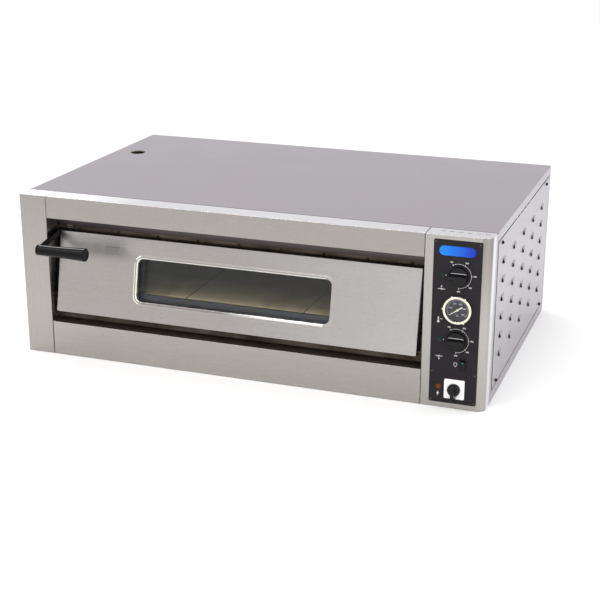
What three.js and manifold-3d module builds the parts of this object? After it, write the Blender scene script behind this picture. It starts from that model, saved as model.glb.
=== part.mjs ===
// Single-deck electric oven with a leaning, bottom-hinged door, a stone baking floor and a control
// column on the right. Millimetres, +Z up. Everything is placed from the front left bottom corner of
// the casing, and the finished group is then moved so that its origin is the centre of the underside.
import * as THREE from 'three';
import { mergeVertices } from 'three/addons/utils/BufferGeometryUtils.js';
import Module from 'manifold-3d';

const wasm = await Module();
wasm.setup();

// ---------------------------------------------------------------- driving dimensions
const WIDTH = 1150;
const DEPTH = 735;
const HEIGHT = 400;
const SHEET = 1.5;
const GAP = 0.3;

// front casing
const POST_WIDTH = 69.7;
const COLUMN_LEFT = 1002;
const COLUMN_EDGE_RADIUS = 22;
const STRIP_DEPTH = 52.2;
const RETURN_DEPTH = 62;
const OPENING_BOTTOM = 84;
const OPENING_TOP = 345;

// outer skins
const BASE_BAND = 26;
const TOP_FOLD = 22;
const REAR_FLANGE = 15;
const FLUE = { x: 65, y: 507, radius: 20 };
const LOUVRE = { columns: 5, rows: 6, firstY: 127, pitchY: 122, firstZ: 96.5, pitchZ: 44.2 };
const LOUVRE_HOOD = { height: 14, proud: 5, length: 38 };

// door, in its own leaning frame: y from its front face inwards, z up the slant
const DOOR_LEAN = THREE.MathUtils.degToRad(12.3);
const DOOR = { left: 82.5, right: 989, height: 199, depth: 38, seatY: 1.2, seatZ: 112 };
const DOOR_PIVOT = { y: 17.5, z: 8, pin: 4, hole: 4.6 };
const DOOR_CLEARANCE = 3;
const WINDOW = { left: 294, right: 780, bottom: 47.5, top: 149.5, radius: 14, collar: 10 };
const GLASS = { lap: 8, thickness: 4 };
const WINDOW_LEDGE = 13;

// handle
const GRIP = { y: -60, z: 284.5, end: 206, armRadius: 12.6, freeRadius: 15.8 };
const ARM = { thickness: 5, width: 15, shoulderY: 42, shoulderZ: 303 };
const ARM_FOOT = { front: 1, back: 33, low: 163, high: 194.5 };

// baking chamber
const CHAMBER = { left: 78, right: 993, rear: 696, floor: 101.5, ceiling: 286.3 };
const STONE = { top: 146, thickness: 16, front: 105, rear: 694, joint: 0.6 };
const MOUTH = { bottom: 146, top: 286, frameBottom: 86, frameTop: 311 };
const ELEMENT = { radius: 4, upperZ: 273, lowerZ: 115, bend: 75, left: 150, right: 1020 };
const ELEMENT_CENTRES = [255, 505];
const LAMP = { y: 560, z: 216, radius: 22 };
const PARTITION_X = 1028;

// controls, on the centre line of the control panel
const PANEL = { left: 1022, right: 1129.7, bottom: 12.5, top: 390.3, radius: 4 };
const PANEL_WINDOW = { left: 1034, right: 1118, bottom: 24, top: 378 };
const CONTROL_X = 1080;
const THERMOSTAT_HEIGHTS = [162.3, 311];
const THERMOMETER_Z = 234.4;
const MAIN_SWITCH_Z = 47.7;
const LIGHT_SWITCH = { x: 1097, z: 107 };
const MAINS_PILOT_Z = 50.7;
const PILOT_X = 1044.2;
const KNOB_RADIUS = 21.5;
const THERMOSTAT_BODY = { half: 20, depth: 34 };
const SWITCH_BODY = { half: 21, depth: 50 };
const BADGE = { left: 1035, right: 1116, bottom: 355.5, top: 377.5, thickness: 0.8 };
const GLAND = { x: 1090, z: 60 };
const TERMINALS = { poles: 5, pitch: 14, front: 620, bottom: 45, top: 70, reach: 28, hole: 3 };

// front faces of the stack on the column: the column's sheet is at y = 0
const PANEL_FRONT = -GAP - SHEET;
const CONTROL_BASE = PANEL_FRONT - GAP;
const BODY_FRONT = SHEET + 0.5;

// ---------------------------------------------------------------- materials
const finish = (color, roughness, metalness) => ({ color, roughness, metalness });
const STAINLESS = finish(0xb0aca8, 0.34, 0.9);
const TOP_SHEET = finish(0xaea8b0, 0.4, 0.85);
const SIDE_SHEET = finish(0xcdc8d0, 0.45, 0.8);
const DARK_SHEET = finish(0x4a4644, 0.45, 0.8);
const CHAMBER_SHEET = finish(0x6c6a68, 0.5, 0.8);
const GALVANISED = finish(0x9a9c9e, 0.5, 0.8);
const STONEWARE = finish(0xcfc09a, 0.95, 0);
const WOOL = finish(0xb9b08c, 1, 0);
const BLACK_PANEL = finish(0x28262a, 0.5, 0.1);
const BLACK_PLASTIC = finish(0x16161a, 0.35, 0);
const WHITE_PLASTIC = finish(0xe8e8e6, 0.4, 0);
const BLUE_ENAMEL = finish(0x1d57c4, 0.3, 0);
const CHROME = finish(0xe2e0da, 0.2, 1);
const DIAL_GREY = finish(0x46444b, 0.6, 0);
const CREAM = finish(0xe6dfc4, 0.5, 0);
const GREEN_LENS = finish(0x1e463c, 0.2, 0);
const ORANGE_LENS = finish(0xb44b19, 0.3, 0);
const CLEAR_GLASS = finish(0x9aa4a8, 0.05, 0);
const WINDOW_STEEL = finish(0x4c555f, 0.4, 0.6);
const ELEMENT_STEEL = finish(0x55504c, 0.5, 0.8);
const CERAMIC = finish(0xd8d2c4, 0.7, 0);

// ---------------------------------------------------------------- solids
const scratch = new THREE.Vector3();
const STEPS_PER_MM = 1024;

// A closed geometry as a manifold solid with its faces pointing out. Its corners are rounded to a
// fine grid, so that faces drawn at the same place by different pieces of a body meet exactly.
function solid(geometry) {
  const bare = geometry.clone();
  bare.deleteAttribute('normal');
  bare.deleteAttribute('uv');
  const coordinates = bare.attributes.position.array;
  coordinates.forEach((value, i) => {
    coordinates[i] = Math.round(value * STEPS_PER_MM) / STEPS_PER_MM;
  });
  const merged = mergeVertices(bare, 1e-4);
  const corners = merged.index.array;
  const position = merged.attributes.position;
  const point = (i) => scratch.fromBufferAttribute(position, i).clone();
  const faces = [];
  let volume = 0;
  for (let i = 0; i < corners.length; i += 3) {
    const [a, b, c] = [corners[i], corners[i + 1], corners[i + 2]];
    if (a !== b && b !== c && c !== a) {
      faces.push([a, b, c]);
      volume += point(a).dot(point(b).cross(point(c)));
    }
  }
  const outward = volume < 0 ? faces.map(([a, b, c]) => [a, c, b]) : faces;
  const mesh = new wasm.Mesh({
    numProp: 3,
    vertProperties: new Float32Array(position.array),
    triVerts: new Uint32Array(outward.flat()),
  });
  return new wasm.Manifold(mesh);
}

// The joined solids with every cutter taken away, each flat face cleared of leftover edges.
function build(bodies, cutters = []) {
  const joined = bodies.reduce((whole, body) => whole.add(body));
  const cut = cutters.reduce((whole, cutter) => whole.subtract(cutter), joined);
  return cut.asOriginal().simplify(1 / STEPS_PER_MM);
}

// A box given by its low and high limits along each axis.
function block(x0, x1, y0, y1, z0, z1) {
  const box = new THREE.BoxGeometry(x1 - x0, y1 - y0, z1 - z0);
  box.translate((x0 + x1) / 2, (y0 + y1) / 2, (z0 + z1) / 2);
  return solid(box);
}

// An outline drawn in two axes and extruded along the third.
function prismZ(shape, z0, z1, curveSegments = 6) {
  const prism = new THREE.ExtrudeGeometry(shape, { depth: z1 - z0, bevelEnabled: false, curveSegments });
  prism.translate(0, 0, z0);
  return solid(prism);
}

function prismY(shape, y0, y1, curveSegments = 6) {
  const prism = new THREE.ExtrudeGeometry(shape, { depth: y1 - y0, bevelEnabled: false, curveSegments });
  prism.rotateX(Math.PI / 2);
  prism.translate(0, y1, 0);
  return solid(prism);
}

function prismX(shape, x0, x1, curveSegments = 6) {
  const prism = new THREE.ExtrudeGeometry(shape, { depth: x1 - x0, bevelEnabled: false, curveSegments });
  prism.rotateY(Math.PI / 2);
  prism.rotateX(Math.PI / 2);
  prism.translate(x0, 0, 0);
  return solid(prism);
}

function outline(points) {
  return new THREE.Shape(points.map(([u, v]) => new THREE.Vector2(u, v)));
}

function roundedRect(u0, u1, v0, v1, radius) {
  const shape = new THREE.Shape();
  shape.absarc(u1 - radius, v0 + radius, radius, -Math.PI / 2, 0, false);
  shape.absarc(u1 - radius, v1 - radius, radius, 0, Math.PI / 2, false);
  shape.absarc(u0 + radius, v1 - radius, radius, Math.PI / 2, Math.PI, false);
  shape.absarc(u0 + radius, v0 + radius, radius, Math.PI, 1.5 * Math.PI, false);
  return shape;
}

// A round bar along X, Y or Z between two places on that axis.
function bar(axis, from, to, radius, sides, at) {
  const cylinder = new THREE.CylinderGeometry(radius, radius, to - from, sides);
  cylinder.translate(0, (from + to) / 2, 0);
  if (axis === 'x') cylinder.rotateZ(-Math.PI / 2);
  if (axis === 'z') cylinder.rotateX(Math.PI / 2);
  cylinder.translate(...at);
  return solid(cylinder);
}

// A turned piece: profile points are [radius, place along the axis].
function turned(axis, profile, sides, at) {
  const lathe = new THREE.LatheGeometry(profile.map(([r, s]) => new THREE.Vector2(r, s)), sides);
  if (axis === 'x') lathe.rotateZ(-Math.PI / 2);
  if (axis === 'z') lathe.rotateX(Math.PI / 2);
  lathe.translate(...at);
  return solid(lathe);
}

// A path that passes straight from station to station, so that a tube has a ring at each one.
class StationPath extends THREE.Curve {
  constructor(stations) {
    super();
    this.stations = stations;
  }

  getPoint(t, target = new THREE.Vector3()) {
    const spans = this.stations.length - 1;
    const span = Math.min(Math.floor(t * spans), spans - 1);
    return target.lerpVectors(this.stations[span], this.stations[span + 1], t * spans - span);
  }

  getUtoTmapping(u) {
    return u;
  }
}

function tube(stations, radius, sides) {
  const section = new THREE.Shape();
  section.absarc(0, 0, radius, 0, 2 * Math.PI, false);
  const options = {
    steps: stations.length - 1,
    extrudePath: new StationPath(stations),
    curveSegments: sides,
    bevelEnabled: false,
  };
  return solid(new THREE.ExtrudeGeometry(section, options));
}

// ---------------------------------------------------------------- the leaning frame of the door
const leanMatrix = new THREE.Matrix4()
  .makeTranslation(0, DOOR.seatY, DOOR.seatZ)
  .multiply(new THREE.Matrix4().makeRotationX(-DOOR_LEAN));

function geometryOf(body) {
  const { vertProperties, triVerts, numProp } = body.getMesh();
  const geometry = new THREE.BufferGeometry();
  const positions = new Float32Array((vertProperties.length / numProp) * 3);
  for (let i = 0; i < positions.length / 3; i += 1) {
    positions.set(vertProperties.subarray(i * numProp, i * numProp + 3), i * 3);
  }
  geometry.setAttribute('position', new THREE.BufferAttribute(positions, 3));
  geometry.setIndex(new THREE.BufferAttribute(new Uint32Array(triVerts), 1));
  geometry.computeVertexNormals();
  return geometry;
}

// A solid drawn in the door's frame, moved to where it stands in the casing's frame.
function leaned(body) {
  return solid(geometryOf(body).applyMatrix4(leanMatrix));
}

// How far back a plane parallel to the door lies at a height, for a depth behind the door's front.
function leanY(depth, z) {
  return DOOR.seatY + depth / Math.cos(DOOR_LEAN) + (z - DOOR.seatZ) * Math.tan(DOOR_LEAN);
}

// The height up the slant of a point at a depth behind the door's front and a height z.
function slantHeight(depth, z) {
  return (z - DOOR.seatZ + depth * Math.sin(DOOR_LEAN)) / Math.cos(DOOR_LEAN);
}

const pivot = new THREE.Vector3(0, DOOR_PIVOT.y, DOOR_PIVOT.z).applyMatrix4(leanMatrix);
const frameFront = DOOR.depth + DOOR_CLEARANCE;
const frameBack = frameFront + SHEET;

// ---------------------------------------------------------------- casing
function basePan() {
  const front = RETURN_DEPTH + GAP;
  return build([
    block(0, WIDTH, front, DEPTH, 0, SHEET),
    block(0, SHEET, front, DEPTH, 0, BASE_BAND),
    block(WIDTH - SHEET, WIDTH, front, DEPTH, 0, BASE_BAND),
    block(0, WIDTH, DEPTH - SHEET, DEPTH, 0, BASE_BAND),
  ]);
}

function topCover() {
  const fold = HEIGHT - TOP_FOLD;
  return build([
    block(0, WIDTH, STRIP_DEPTH + GAP, DEPTH, HEIGHT - SHEET, HEIGHT),
    block(0, SHEET, RETURN_DEPTH + GAP, DEPTH, fold, HEIGHT),
    block(WIDTH - SHEET, WIDTH, RETURN_DEPTH + GAP, DEPTH, fold, HEIGHT),
    block(0, WIDTH, DEPTH - SHEET, DEPTH, fold, HEIGHT),
  ], [bar('z', HEIGHT - 3, HEIGHT + 1, FLUE.radius, 24, [FLUE.x, FLUE.y, 0])]);
}

const panelBottom = BASE_BAND + GAP;
const panelTop = HEIGHT - TOP_FOLD - GAP;
const glandHole = 11.6;

function rearPanel() {
  const flangeFront = DEPTH - REAR_FLANGE;
  return build([
    block(0, WIDTH, DEPTH - SHEET, DEPTH, panelBottom, panelTop),
    block(0, SHEET, flangeFront, DEPTH, panelBottom, panelTop),
    block(WIDTH - SHEET, WIDTH, flangeFront, DEPTH, panelBottom, panelTop),
  ], [bar('y', DEPTH - 3, DEPTH + 1, glandHole, 16, [GLAND.x, 0, GLAND.z])]);
}

function sidePanel(x0) {
  const rear = DEPTH - REAR_FLANGE - GAP;
  return block(x0, x0 + SHEET, RETURN_DEPTH + GAP, rear, panelBottom, panelTop);
}

// One louvre hood: half of a flattened cone that opens to the front and sinks into the panel behind.
function louvreCone(y, z, height, proud, front, length) {
  const cone = new THREE.ConeGeometry(1, length, 10);
  cone.scale(proud, 1, height / 2);
  cone.translate(0, length / 2, 0);
  cone.translate(WIDTH, y + front, z);
  return solid(cone);
}

function louvredSidePanel() {
  const outside = block(WIDTH - SHEET, WIDTH + LOUVRE_HOOD.proud * 2, 0, DEPTH, 0, HEIGHT);
  const { height, proud, length } = LOUVRE_HOOD;
  const wall = 1.2;
  const mouthLength = length - 6 * wall;
  let panel = sidePanel(WIDTH - SHEET);
  for (let column = 0; column < LOUVRE.columns; column += 1) {
    for (let row = 0; row < LOUVRE.rows; row += 1) {
      const y = LOUVRE.firstY + column * LOUVRE.pitchY;
      const z = LOUVRE.firstZ + row * LOUVRE.pitchZ;
      const hood = louvreCone(y, z, height, proud, 0, length).intersect(outside);
      const mouth = louvreCone(y, z, height - 2 * wall, proud - wall, -wall / 2, mouthLength);
      panel = panel.add(hood).subtract(mouth);
    }
  }
  return panel;
}

// A front piece is a folded box without back: front, top strip and the two side returns.
function frontLeftPost() {
  return build([block(0, POST_WIDTH, 0, RETURN_DEPTH, 0, HEIGHT)], [
    block(SHEET, POST_WIDTH - SHEET, SHEET, RETURN_DEPTH + 1, SHEET, HEIGHT - SHEET),
    block(-1, POST_WIDTH + 1, STRIP_DEPTH, RETURN_DEPTH + 1, HEIGHT - SHEET - GAP, HEIGHT + 1),
    block(POST_WIDTH - SHEET - 1, POST_WIDTH + 1, RETURN_DEPTH - 2, RETURN_DEPTH + 1, -1, HEIGHT + 1),
  ]);
}

// The column's plan, inset by a wall thickness, with its rounded front right edge.
function columnPlan(inset, back) {
  const [left, right] = [COLUMN_LEFT + inset, WIDTH - inset];
  const radius = COLUMN_EDGE_RADIUS - inset;
  const plan = new THREE.Shape();
  plan.moveTo(left, back);
  plan.lineTo(left, inset);
  plan.absarc(right - radius, inset + radius, radius, -Math.PI / 2, 0, false);
  plan.lineTo(right, back);
  return plan;
}

function slotOutline(x, y, length, width) {
  const nearlyHalf = width / 2 - 0.01;
  return roundedRect(x - length / 2, x + length / 2, y - width / 2, y + width / 2, nearlyHalf);
}

function controlColumn() {
  const slots = { count: 6, first: 1034.4, pitch: 19.5, y: 31.5, length: 11, width: 3 };
  const cutters = [
    prismZ(columnPlan(SHEET, RETURN_DEPTH + 1), SHEET, HEIGHT - SHEET),
    block(COLUMN_LEFT - 1, WIDTH + 1, STRIP_DEPTH, RETURN_DEPTH + 1, HEIGHT - SHEET - GAP, HEIGHT + 1),
    block(PANEL_WINDOW.left, PANEL_WINDOW.right, -1, SHEET + 1, PANEL_WINDOW.bottom, PANEL_WINDOW.top),
    block(COLUMN_LEFT - 1, COLUMN_LEFT + SHEET + 1, RETURN_DEPTH - 2, RETURN_DEPTH + 1, -1, HEIGHT + 1),
  ];
  for (let i = 0; i < slots.count; i += 1) {
    const slot = slotOutline(slots.first + i * slots.pitch, slots.y, slots.length, slots.width);
    cutters.push(prismZ(slot, HEIGHT - 3, HEIGHT + 1, 3));
  }
  return build([prismZ(columnPlan(0, RETURN_DEPTH), 0, HEIGHT)], cutters);
}

const fasciaLeft = POST_WIDTH + GAP;
const fasciaRight = COLUMN_LEFT - GAP;
const lipBottom = 317;

// Upper fascia: top strip, front, underside and a lip that hangs behind the door's top edge.
function upperFascia() {
  const profile = outline([
    [0, OPENING_TOP], [STRIP_DEPTH, OPENING_TOP], [STRIP_DEPTH, lipBottom],
    [STRIP_DEPTH + SHEET, lipBottom], [STRIP_DEPTH + SHEET, OPENING_TOP + SHEET],
    [SHEET, OPENING_TOP + SHEET], [SHEET, HEIGHT - SHEET], [STRIP_DEPTH, HEIGHT - SHEET],
    [STRIP_DEPTH, HEIGHT], [0, HEIGHT],
  ]);
  return prismX(profile, fasciaLeft, fasciaRight);
}

function lowerFascia() {
  return build([
    block(fasciaLeft, fasciaRight, 0, SHEET, 0, OPENING_BOTTOM),
    block(fasciaLeft, fasciaRight, 0, RETURN_DEPTH - 2, 0, SHEET),
  ]);
}

// Dark channel behind the lower fascia, under the door.
function hingeChannel() {
  const top = OPENING_BOTTOM - 0.5;
  const back = RETURN_DEPTH - 2;
  return build([
    block(fasciaLeft + GAP, fasciaRight - GAP, SHEET + GAP, back, top - SHEET, top),
    block(fasciaLeft + GAP, fasciaRight - GAP, back - SHEET, back, SHEET + GAP, top),
  ]);
}

// Slotted angle that breaks the heat path between the chamber's mouth and the upper fascia.
function heatBreakStrip() {
  const strip = { front: 57.5, back: 110, bottom: 308, shelf: 312.3, top: 340 };
  const notches = { first: 128, pitch: 104.1, count: 9, width: 6, height: 5 };
  const cutters = [];
  for (let i = 0; i < notches.count; i += 1) {
    const x = notches.first + i * notches.pitch;
    cutters.push(block(x - notches.width / 2, x + notches.width / 2, strip.front - 1,
      strip.front + SHEET + 1, strip.bottom - 1, strip.bottom + notches.height));
  }
  return build([
    block(fasciaLeft + GAP, fasciaRight - GAP, strip.front, strip.front + SHEET, strip.bottom, strip.top),
    block(fasciaLeft + GAP, fasciaRight - GAP, strip.front, strip.back, strip.shelf, strip.shelf + SHEET),
  ], cutters);
}

// ---------------------------------------------------------------- chamber
// Leaning frame that the door shuts against, with the sill that runs in to the stones.
function mouthFrame() {
  const bottom = slantHeight(frameFront, MOUTH.frameBottom);
  const top = slantHeight(frameFront, MOUTH.frameTop);
  const plate = block(fasciaLeft + GAP, fasciaRight - GAP, frameFront, frameBack, bottom, top);
  const hole = block(CHAMBER.left, CHAMBER.right, frameFront - 1, frameBack + 1,
    slantHeight(frameFront, MOUTH.bottom), slantHeight(frameFront, MOUTH.top));
  const sillTop = MOUTH.bottom - 1;
  const sill = block(CHAMBER.left + GAP, CHAMBER.right - GAP, leanY(frameFront + 0.5, sillTop),
    STONE.front - GAP, sillTop - SHEET, sillTop);
  return build([leaned(build([plate], [hole])), sill]);
}

// The floor plate carries two ribs that the stones lie on.
function chamberFloor() {
  const front = leanY(frameBack, CHAMBER.floor) + GAP;
  const left = CHAMBER.left - SHEET;
  const right = CHAMBER.right + SHEET;
  const ribs = { width: 12, setback: 10, end: 3, top: STONE.top - STONE.thickness - GAP };
  const rib = (y) => block(CHAMBER.left + ribs.end, CHAMBER.right - ribs.end, y, y + ribs.width,
    CHAMBER.floor - 1, ribs.top);
  return build([
    block(left, right, front, CHAMBER.rear + SHEET, CHAMBER.floor - SHEET, CHAMBER.floor),
    rib(STONE.front + ribs.setback),
    rib(STONE.rear - ribs.setback - ribs.width),
  ]);
}

const ceilingHole = { x: 115, width: 36, y: FLUE.y, depth: 30 };

function chamberCeiling() {
  const front = leanY(frameBack, CHAMBER.ceiling + SHEET) + GAP;
  const plate = block(CHAMBER.left - SHEET, CHAMBER.right + SHEET, front, CHAMBER.rear + SHEET,
    CHAMBER.ceiling, CHAMBER.ceiling + SHEET);
  const hole = ceilingHole;
  return build([plate], [
    block(hole.x - hole.width / 2, hole.x + hole.width / 2, hole.y - hole.depth / 2,
      hole.y + hole.depth / 2, CHAMBER.ceiling - 1, CHAMBER.ceiling + SHEET + 1),
  ]);
}

const wallBottom = CHAMBER.floor + GAP;
const wallTop = CHAMBER.ceiling - GAP;

function chamberSideWall(x0) {
  const front = (z) => leanY(frameBack, z) + GAP;
  const profile = outline([
    [front(wallBottom), wallBottom], [CHAMBER.rear - GAP, wallBottom],
    [CHAMBER.rear - GAP, wallTop], [front(wallTop), wallTop],
  ]);
  return prismX(profile, x0, x0 + SHEET);
}

// The right wall is pierced by the legs of the heating elements and by the lamp.
function chamberRightWall() {
  const x = CHAMBER.right;
  const cutters = [bar('x', x - 1, x + SHEET + 1, LAMP.radius, 20, [0, LAMP.y, LAMP.z])];
  for (const centre of ELEMENT_CENTRES) {
    for (const z of [ELEMENT.lowerZ, ELEMENT.upperZ]) {
      for (const side of [-1, 1]) {
        const y = centre + side * ELEMENT.bend;
        cutters.push(bar('x', x - 1, x + SHEET + 1, ELEMENT.radius + 1, 10, [0, y, z]));
      }
    }
  }
  return build([chamberSideWall(x)], cutters);
}

function chamberRearWall() {
  const [left, right] = [CHAMBER.left - SHEET, CHAMBER.right + SHEET];
  return block(left, right, CHAMBER.rear, CHAMBER.rear + SHEET, wallBottom, wallTop);
}

const STONE_COUNT = 3;

function stoneSlab(index) {
  const pitch = (CHAMBER.right - CHAMBER.left) / STONE_COUNT;
  const left = CHAMBER.left + index * pitch + STONE.joint;
  const right = CHAMBER.left + (index + 1) * pitch - STONE.joint;
  return block(left, right, STONE.front, STONE.rear, STONE.top - STONE.thickness, STONE.top);
}

// A hairpin element: two legs along X that enter through the right wall, and a half-round bend.
function heatingElement(centre, z) {
  const bendSteps = 8;
  const bendX = ELEMENT.left + ELEMENT.bend;
  const stations = [new THREE.Vector3(ELEMENT.right, centre - ELEMENT.bend, z)];
  for (let i = 0; i <= bendSteps; i += 1) {
    const angle = -Math.PI / 2 - (i / bendSteps) * Math.PI;
    const x = bendX + ELEMENT.bend * Math.cos(angle);
    stations.push(new THREE.Vector3(x, centre + ELEMENT.bend * Math.sin(angle), z));
  }
  stations.push(new THREE.Vector3(ELEMENT.right, centre + ELEMENT.bend, z));
  return tube(stations, ELEMENT.radius, 8);
}

const ductBox = { left: 44, right: 140, halfDepth: 22, top: 310, wall: 1.2, flange: 7, pipe: 18.5 };

// Steam duct: a flat box over the hole in the ceiling and a round pipe up to the hole in the top.
function steamDuct() {
  const { left, right, halfDepth, top, wall, flange } = ductBox;
  const [front, back] = [FLUE.y - halfDepth, FLUE.y + halfDepth];
  const bottom = CHAMBER.ceiling + SHEET + GAP;
  const inletLeft = CHAMBER.left + 19;
  const pipeTop = HEIGHT - SHEET - GAP;
  return build([
    block(left, right, front, back, bottom, top),
    bar('z', top - 1, pipeTop, ductBox.pipe, 16, [FLUE.x, FLUE.y, 0]),
  ], [
    block(left + wall, right - wall, front + wall, back - wall, bottom + wall, top - wall),
    block(inletLeft, right - flange, front + flange, back - flange, bottom - 1, bottom + wall + 1),
    bar('z', top - wall - 1, pipeTop + 1, ductBox.pipe - wall, 16, [FLUE.x, FLUE.y, 0]),
  ]);
}

const woolInset = 0.5;
const woolFront = 92;
const woolRear = DEPTH - SHEET - woolInset;
const woolRight = PARTITION_X - woolInset;

function insulationTop() {
  const front = 112;
  const bottom = CHAMBER.ceiling + SHEET + woolInset;
  const slab = block(SHEET + woolInset, woolRight, front, woolRear, bottom, HEIGHT - SHEET - woolInset);
  const depth = ductBox.halfDepth + 1;
  return build([slab], [
    block(ductBox.left - 1, ductBox.right + 1, FLUE.y - depth, FLUE.y + depth, bottom - 1,
      ductBox.top + 1),
    bar('z', ductBox.top, HEIGHT, FLUE.radius, 16, [FLUE.x, FLUE.y, 0]),
  ]);
}

// Insulation under, behind and on both sides of the chamber; the right side leaves the ends of
// the elements free.
function insulationTub() {
  const left = SHEET + woolInset;
  const floorTop = CHAMBER.floor - SHEET - woolInset;
  const sideTop = CHAMBER.ceiling;
  const chamberBack = CHAMBER.rear + SHEET + woolInset;
  const rightFace = CHAMBER.right + SHEET + woolInset;
  const betweenElements = { bottom: 130, top: 262 };
  return build([
    block(left, woolRight, RETURN_DEPTH + 2, woolRear, left, floorTop),
    block(left, CHAMBER.left - SHEET - woolInset, woolFront, woolRear, floorTop - 1, sideTop),
    block(left, woolRight, chamberBack, woolRear, floorTop - 1, sideTop),
    block(rightFace, woolRight, woolFront, woolRear, betweenElements.bottom, betweenElements.top),
  ], [bar('x', rightFace - 1, woolRight + 1, LAMP.radius + 3, 16, [0, LAMP.y, LAMP.z])]);
}

function partition() {
  const bottom = SHEET + GAP;
  const top = HEIGHT - SHEET - GAP;
  return block(PARTITION_X, PARTITION_X + SHEET, RETURN_DEPTH + 2, woolRear, bottom, top);
}

function lampHousing() {
  const x = CHAMBER.right + SHEET + GAP;
  const depth = 30;
  const outer = LAMP.radius + 2;
  const profile = [
    [0, depth - 2], [outer - 2, depth - 2], [outer - 2, 0], [outer, 0], [outer, depth], [0, depth],
  ];
  return turned('x', profile, 20, [x, LAMP.y, LAMP.z]);
}

function lampGlass() {
  const wall = 1.6;
  const reach = 14;
  const flange = LAMP.radius + 4;
  const inner = LAMP.radius - 2;
  const x = CHAMBER.right - GAP;
  const profile = [
    [0, -reach + wall], [inner - 6, -reach + wall + 2], [inner - wall, -wall], [inner - wall, 0],
    [flange, 0], [flange, -wall], [inner, -wall], [inner - 4, -reach + 2], [0, -reach],
  ];
  return turned('x', profile, 20, [x, LAMP.y, LAMP.z]);
}

// ---------------------------------------------------------------- door
// Leaning-frame helpers: outlines of the window, grown or shrunk by an amount all round.
function windowOutline(grow, ledge = 0) {
  const radius = Math.max(WINDOW.radius + grow, 2);
  const bottom = WINDOW.bottom - grow + ledge;
  return roundedRect(WINDOW.left - grow, WINDOW.right + grow, bottom, WINDOW.top + grow, radius);
}

// The outer skin is a tray, open behind, with a collar turned in round the window.
function doorOuterSkin() {
  const back = DOOR.depth - SHEET - GAP;
  const { left, right, height } = DOOR;
  const reach = 2 * SHEET;
  const pinHole = (x) => bar('x', x - reach, x + reach, DOOR_PIVOT.hole, 16,
    [0, DOOR_PIVOT.y, DOOR_PIVOT.z]);
  return build([
    build([block(left, right, 0, back, 0, height)], [
      block(left + SHEET, right - SHEET, SHEET, back + 1, SHEET, height - SHEET),
    ]),
    prismY(windowOutline(SHEET), 0, WINDOW.collar),
  ], [
    prismY(windowOutline(0), -1, WINDOW.collar + 1),
    pinHole(left),
    pinHole(right),
  ]);
}

const frameOuterGrow = 11;
const outerGlassFront = WINDOW.collar + GAP;
const outerGlassBack = outerGlassFront + GLASS.thickness;
const innerGlassBack = DOOR.depth - SHEET - GAP;
const innerGlassFront = innerGlassBack - GLASS.thickness;
const windowFrameFront = outerGlassBack + GAP;
const windowFrameBack = innerGlassFront - GAP;

function doorInnerSkin() {
  const { left, right, height, depth } = DOOR;
  const plate = block(left, right, depth - SHEET, depth, 0, height);
  return build([plate], [prismY(windowOutline(0, WINDOW_LEDGE), depth - 3, depth + 1)]);
}

function doorInsulation() {
  const { left, right, height } = DOOR;
  const inset = { side: 8, edge: 2 };
  const slab = block(left + inset.side, right - inset.side, SHEET + GAP, DOOR.depth - SHEET - GAP,
    inset.edge, height - inset.edge);
  return build([slab], [prismY(windowOutline(frameOuterGrow + 1), 0, DOOR.depth)]);
}

function pane(front) {
  return prismY(windowOutline(GLASS.lap), front, front + GLASS.thickness);
}

// Frame between the two panes, with a ledge along the bottom of the inner pane.
function windowFrame() {
  const ledgeDepth = 4;
  return build([prismY(windowOutline(frameOuterGrow), windowFrameFront, windowFrameBack)], [
    prismY(windowOutline(0), windowFrameFront - 1, windowFrameBack - ledgeDepth),
    prismY(windowOutline(0, WINDOW_LEDGE), windowFrameBack - ledgeDepth - 1, windowFrameBack + 1),
  ]);
}

// Flat arm: a round eye behind the grip, a straight bar, and a foot on the end of the door.
function handleArm() {
  const shoulder = new THREE.Vector2(ARM.shoulderY, ARM.shoulderZ);
  const grip = new THREE.Vector2(GRIP.y, GRIP.z);
  const along = shoulder.clone().sub(grip).normalize();
  const across = new THREE.Vector2(-along.y, along.x).multiplyScalar(ARM.width / 2);
  const corner = (base, sign) => [base.x + sign * across.x, base.y + sign * across.y];
  const [x0, x1] = [DOOR.left - GAP - ARM.thickness, DOOR.left - GAP];
  const straight = prismX(outline([
    corner(grip, -1), corner(shoulder, -1), corner(shoulder, 1), corner(grip, 1),
  ]), x0, x1);
  const eye = bar('x', x0, x1, GRIP.armRadius, 16, [0, GRIP.y, GRIP.z]);
  const foot = leaned(block(x0, x1, ARM_FOOT.front, ARM_FOOT.back, ARM_FOOT.low, ARM_FOOT.high));
  return build([straight, eye, foot]);
}

function handleGrip() {
  const start = DOOR.left;
  const length = GRIP.end - start;
  const chamfer = 1.2;
  const profile = [
    [0, 0], [GRIP.armRadius, 0], [GRIP.freeRadius, length - chamfer],
    [GRIP.freeRadius - chamfer, length], [0, length],
  ];
  return turned('x', profile, 20, [start, GRIP.y, GRIP.z]);
}

// Bracket on the side of the opening with the pin that the door turns on; side is 1 on the left.
function hingeBracket(face, side) {
  const plate = { thickness: 3, front: 6, back: 34, below: 16, above: 44 };
  const reach = 16;
  const span = (near, far) => [face + side * near, face + side * far].sort((a, b) => a - b);
  const [plate0, plate1] = span(GAP, GAP + plate.thickness);
  const [pin0, pin1] = span(GAP, reach);
  return build([
    block(plate0, plate1, plate.front, plate.back, pivot.z - plate.below, pivot.z + plate.above),
    bar('x', pin0, pin1, DOOR_PIVOT.pin, 16, [0, pivot.y, pivot.z]),
  ]);
}

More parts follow.
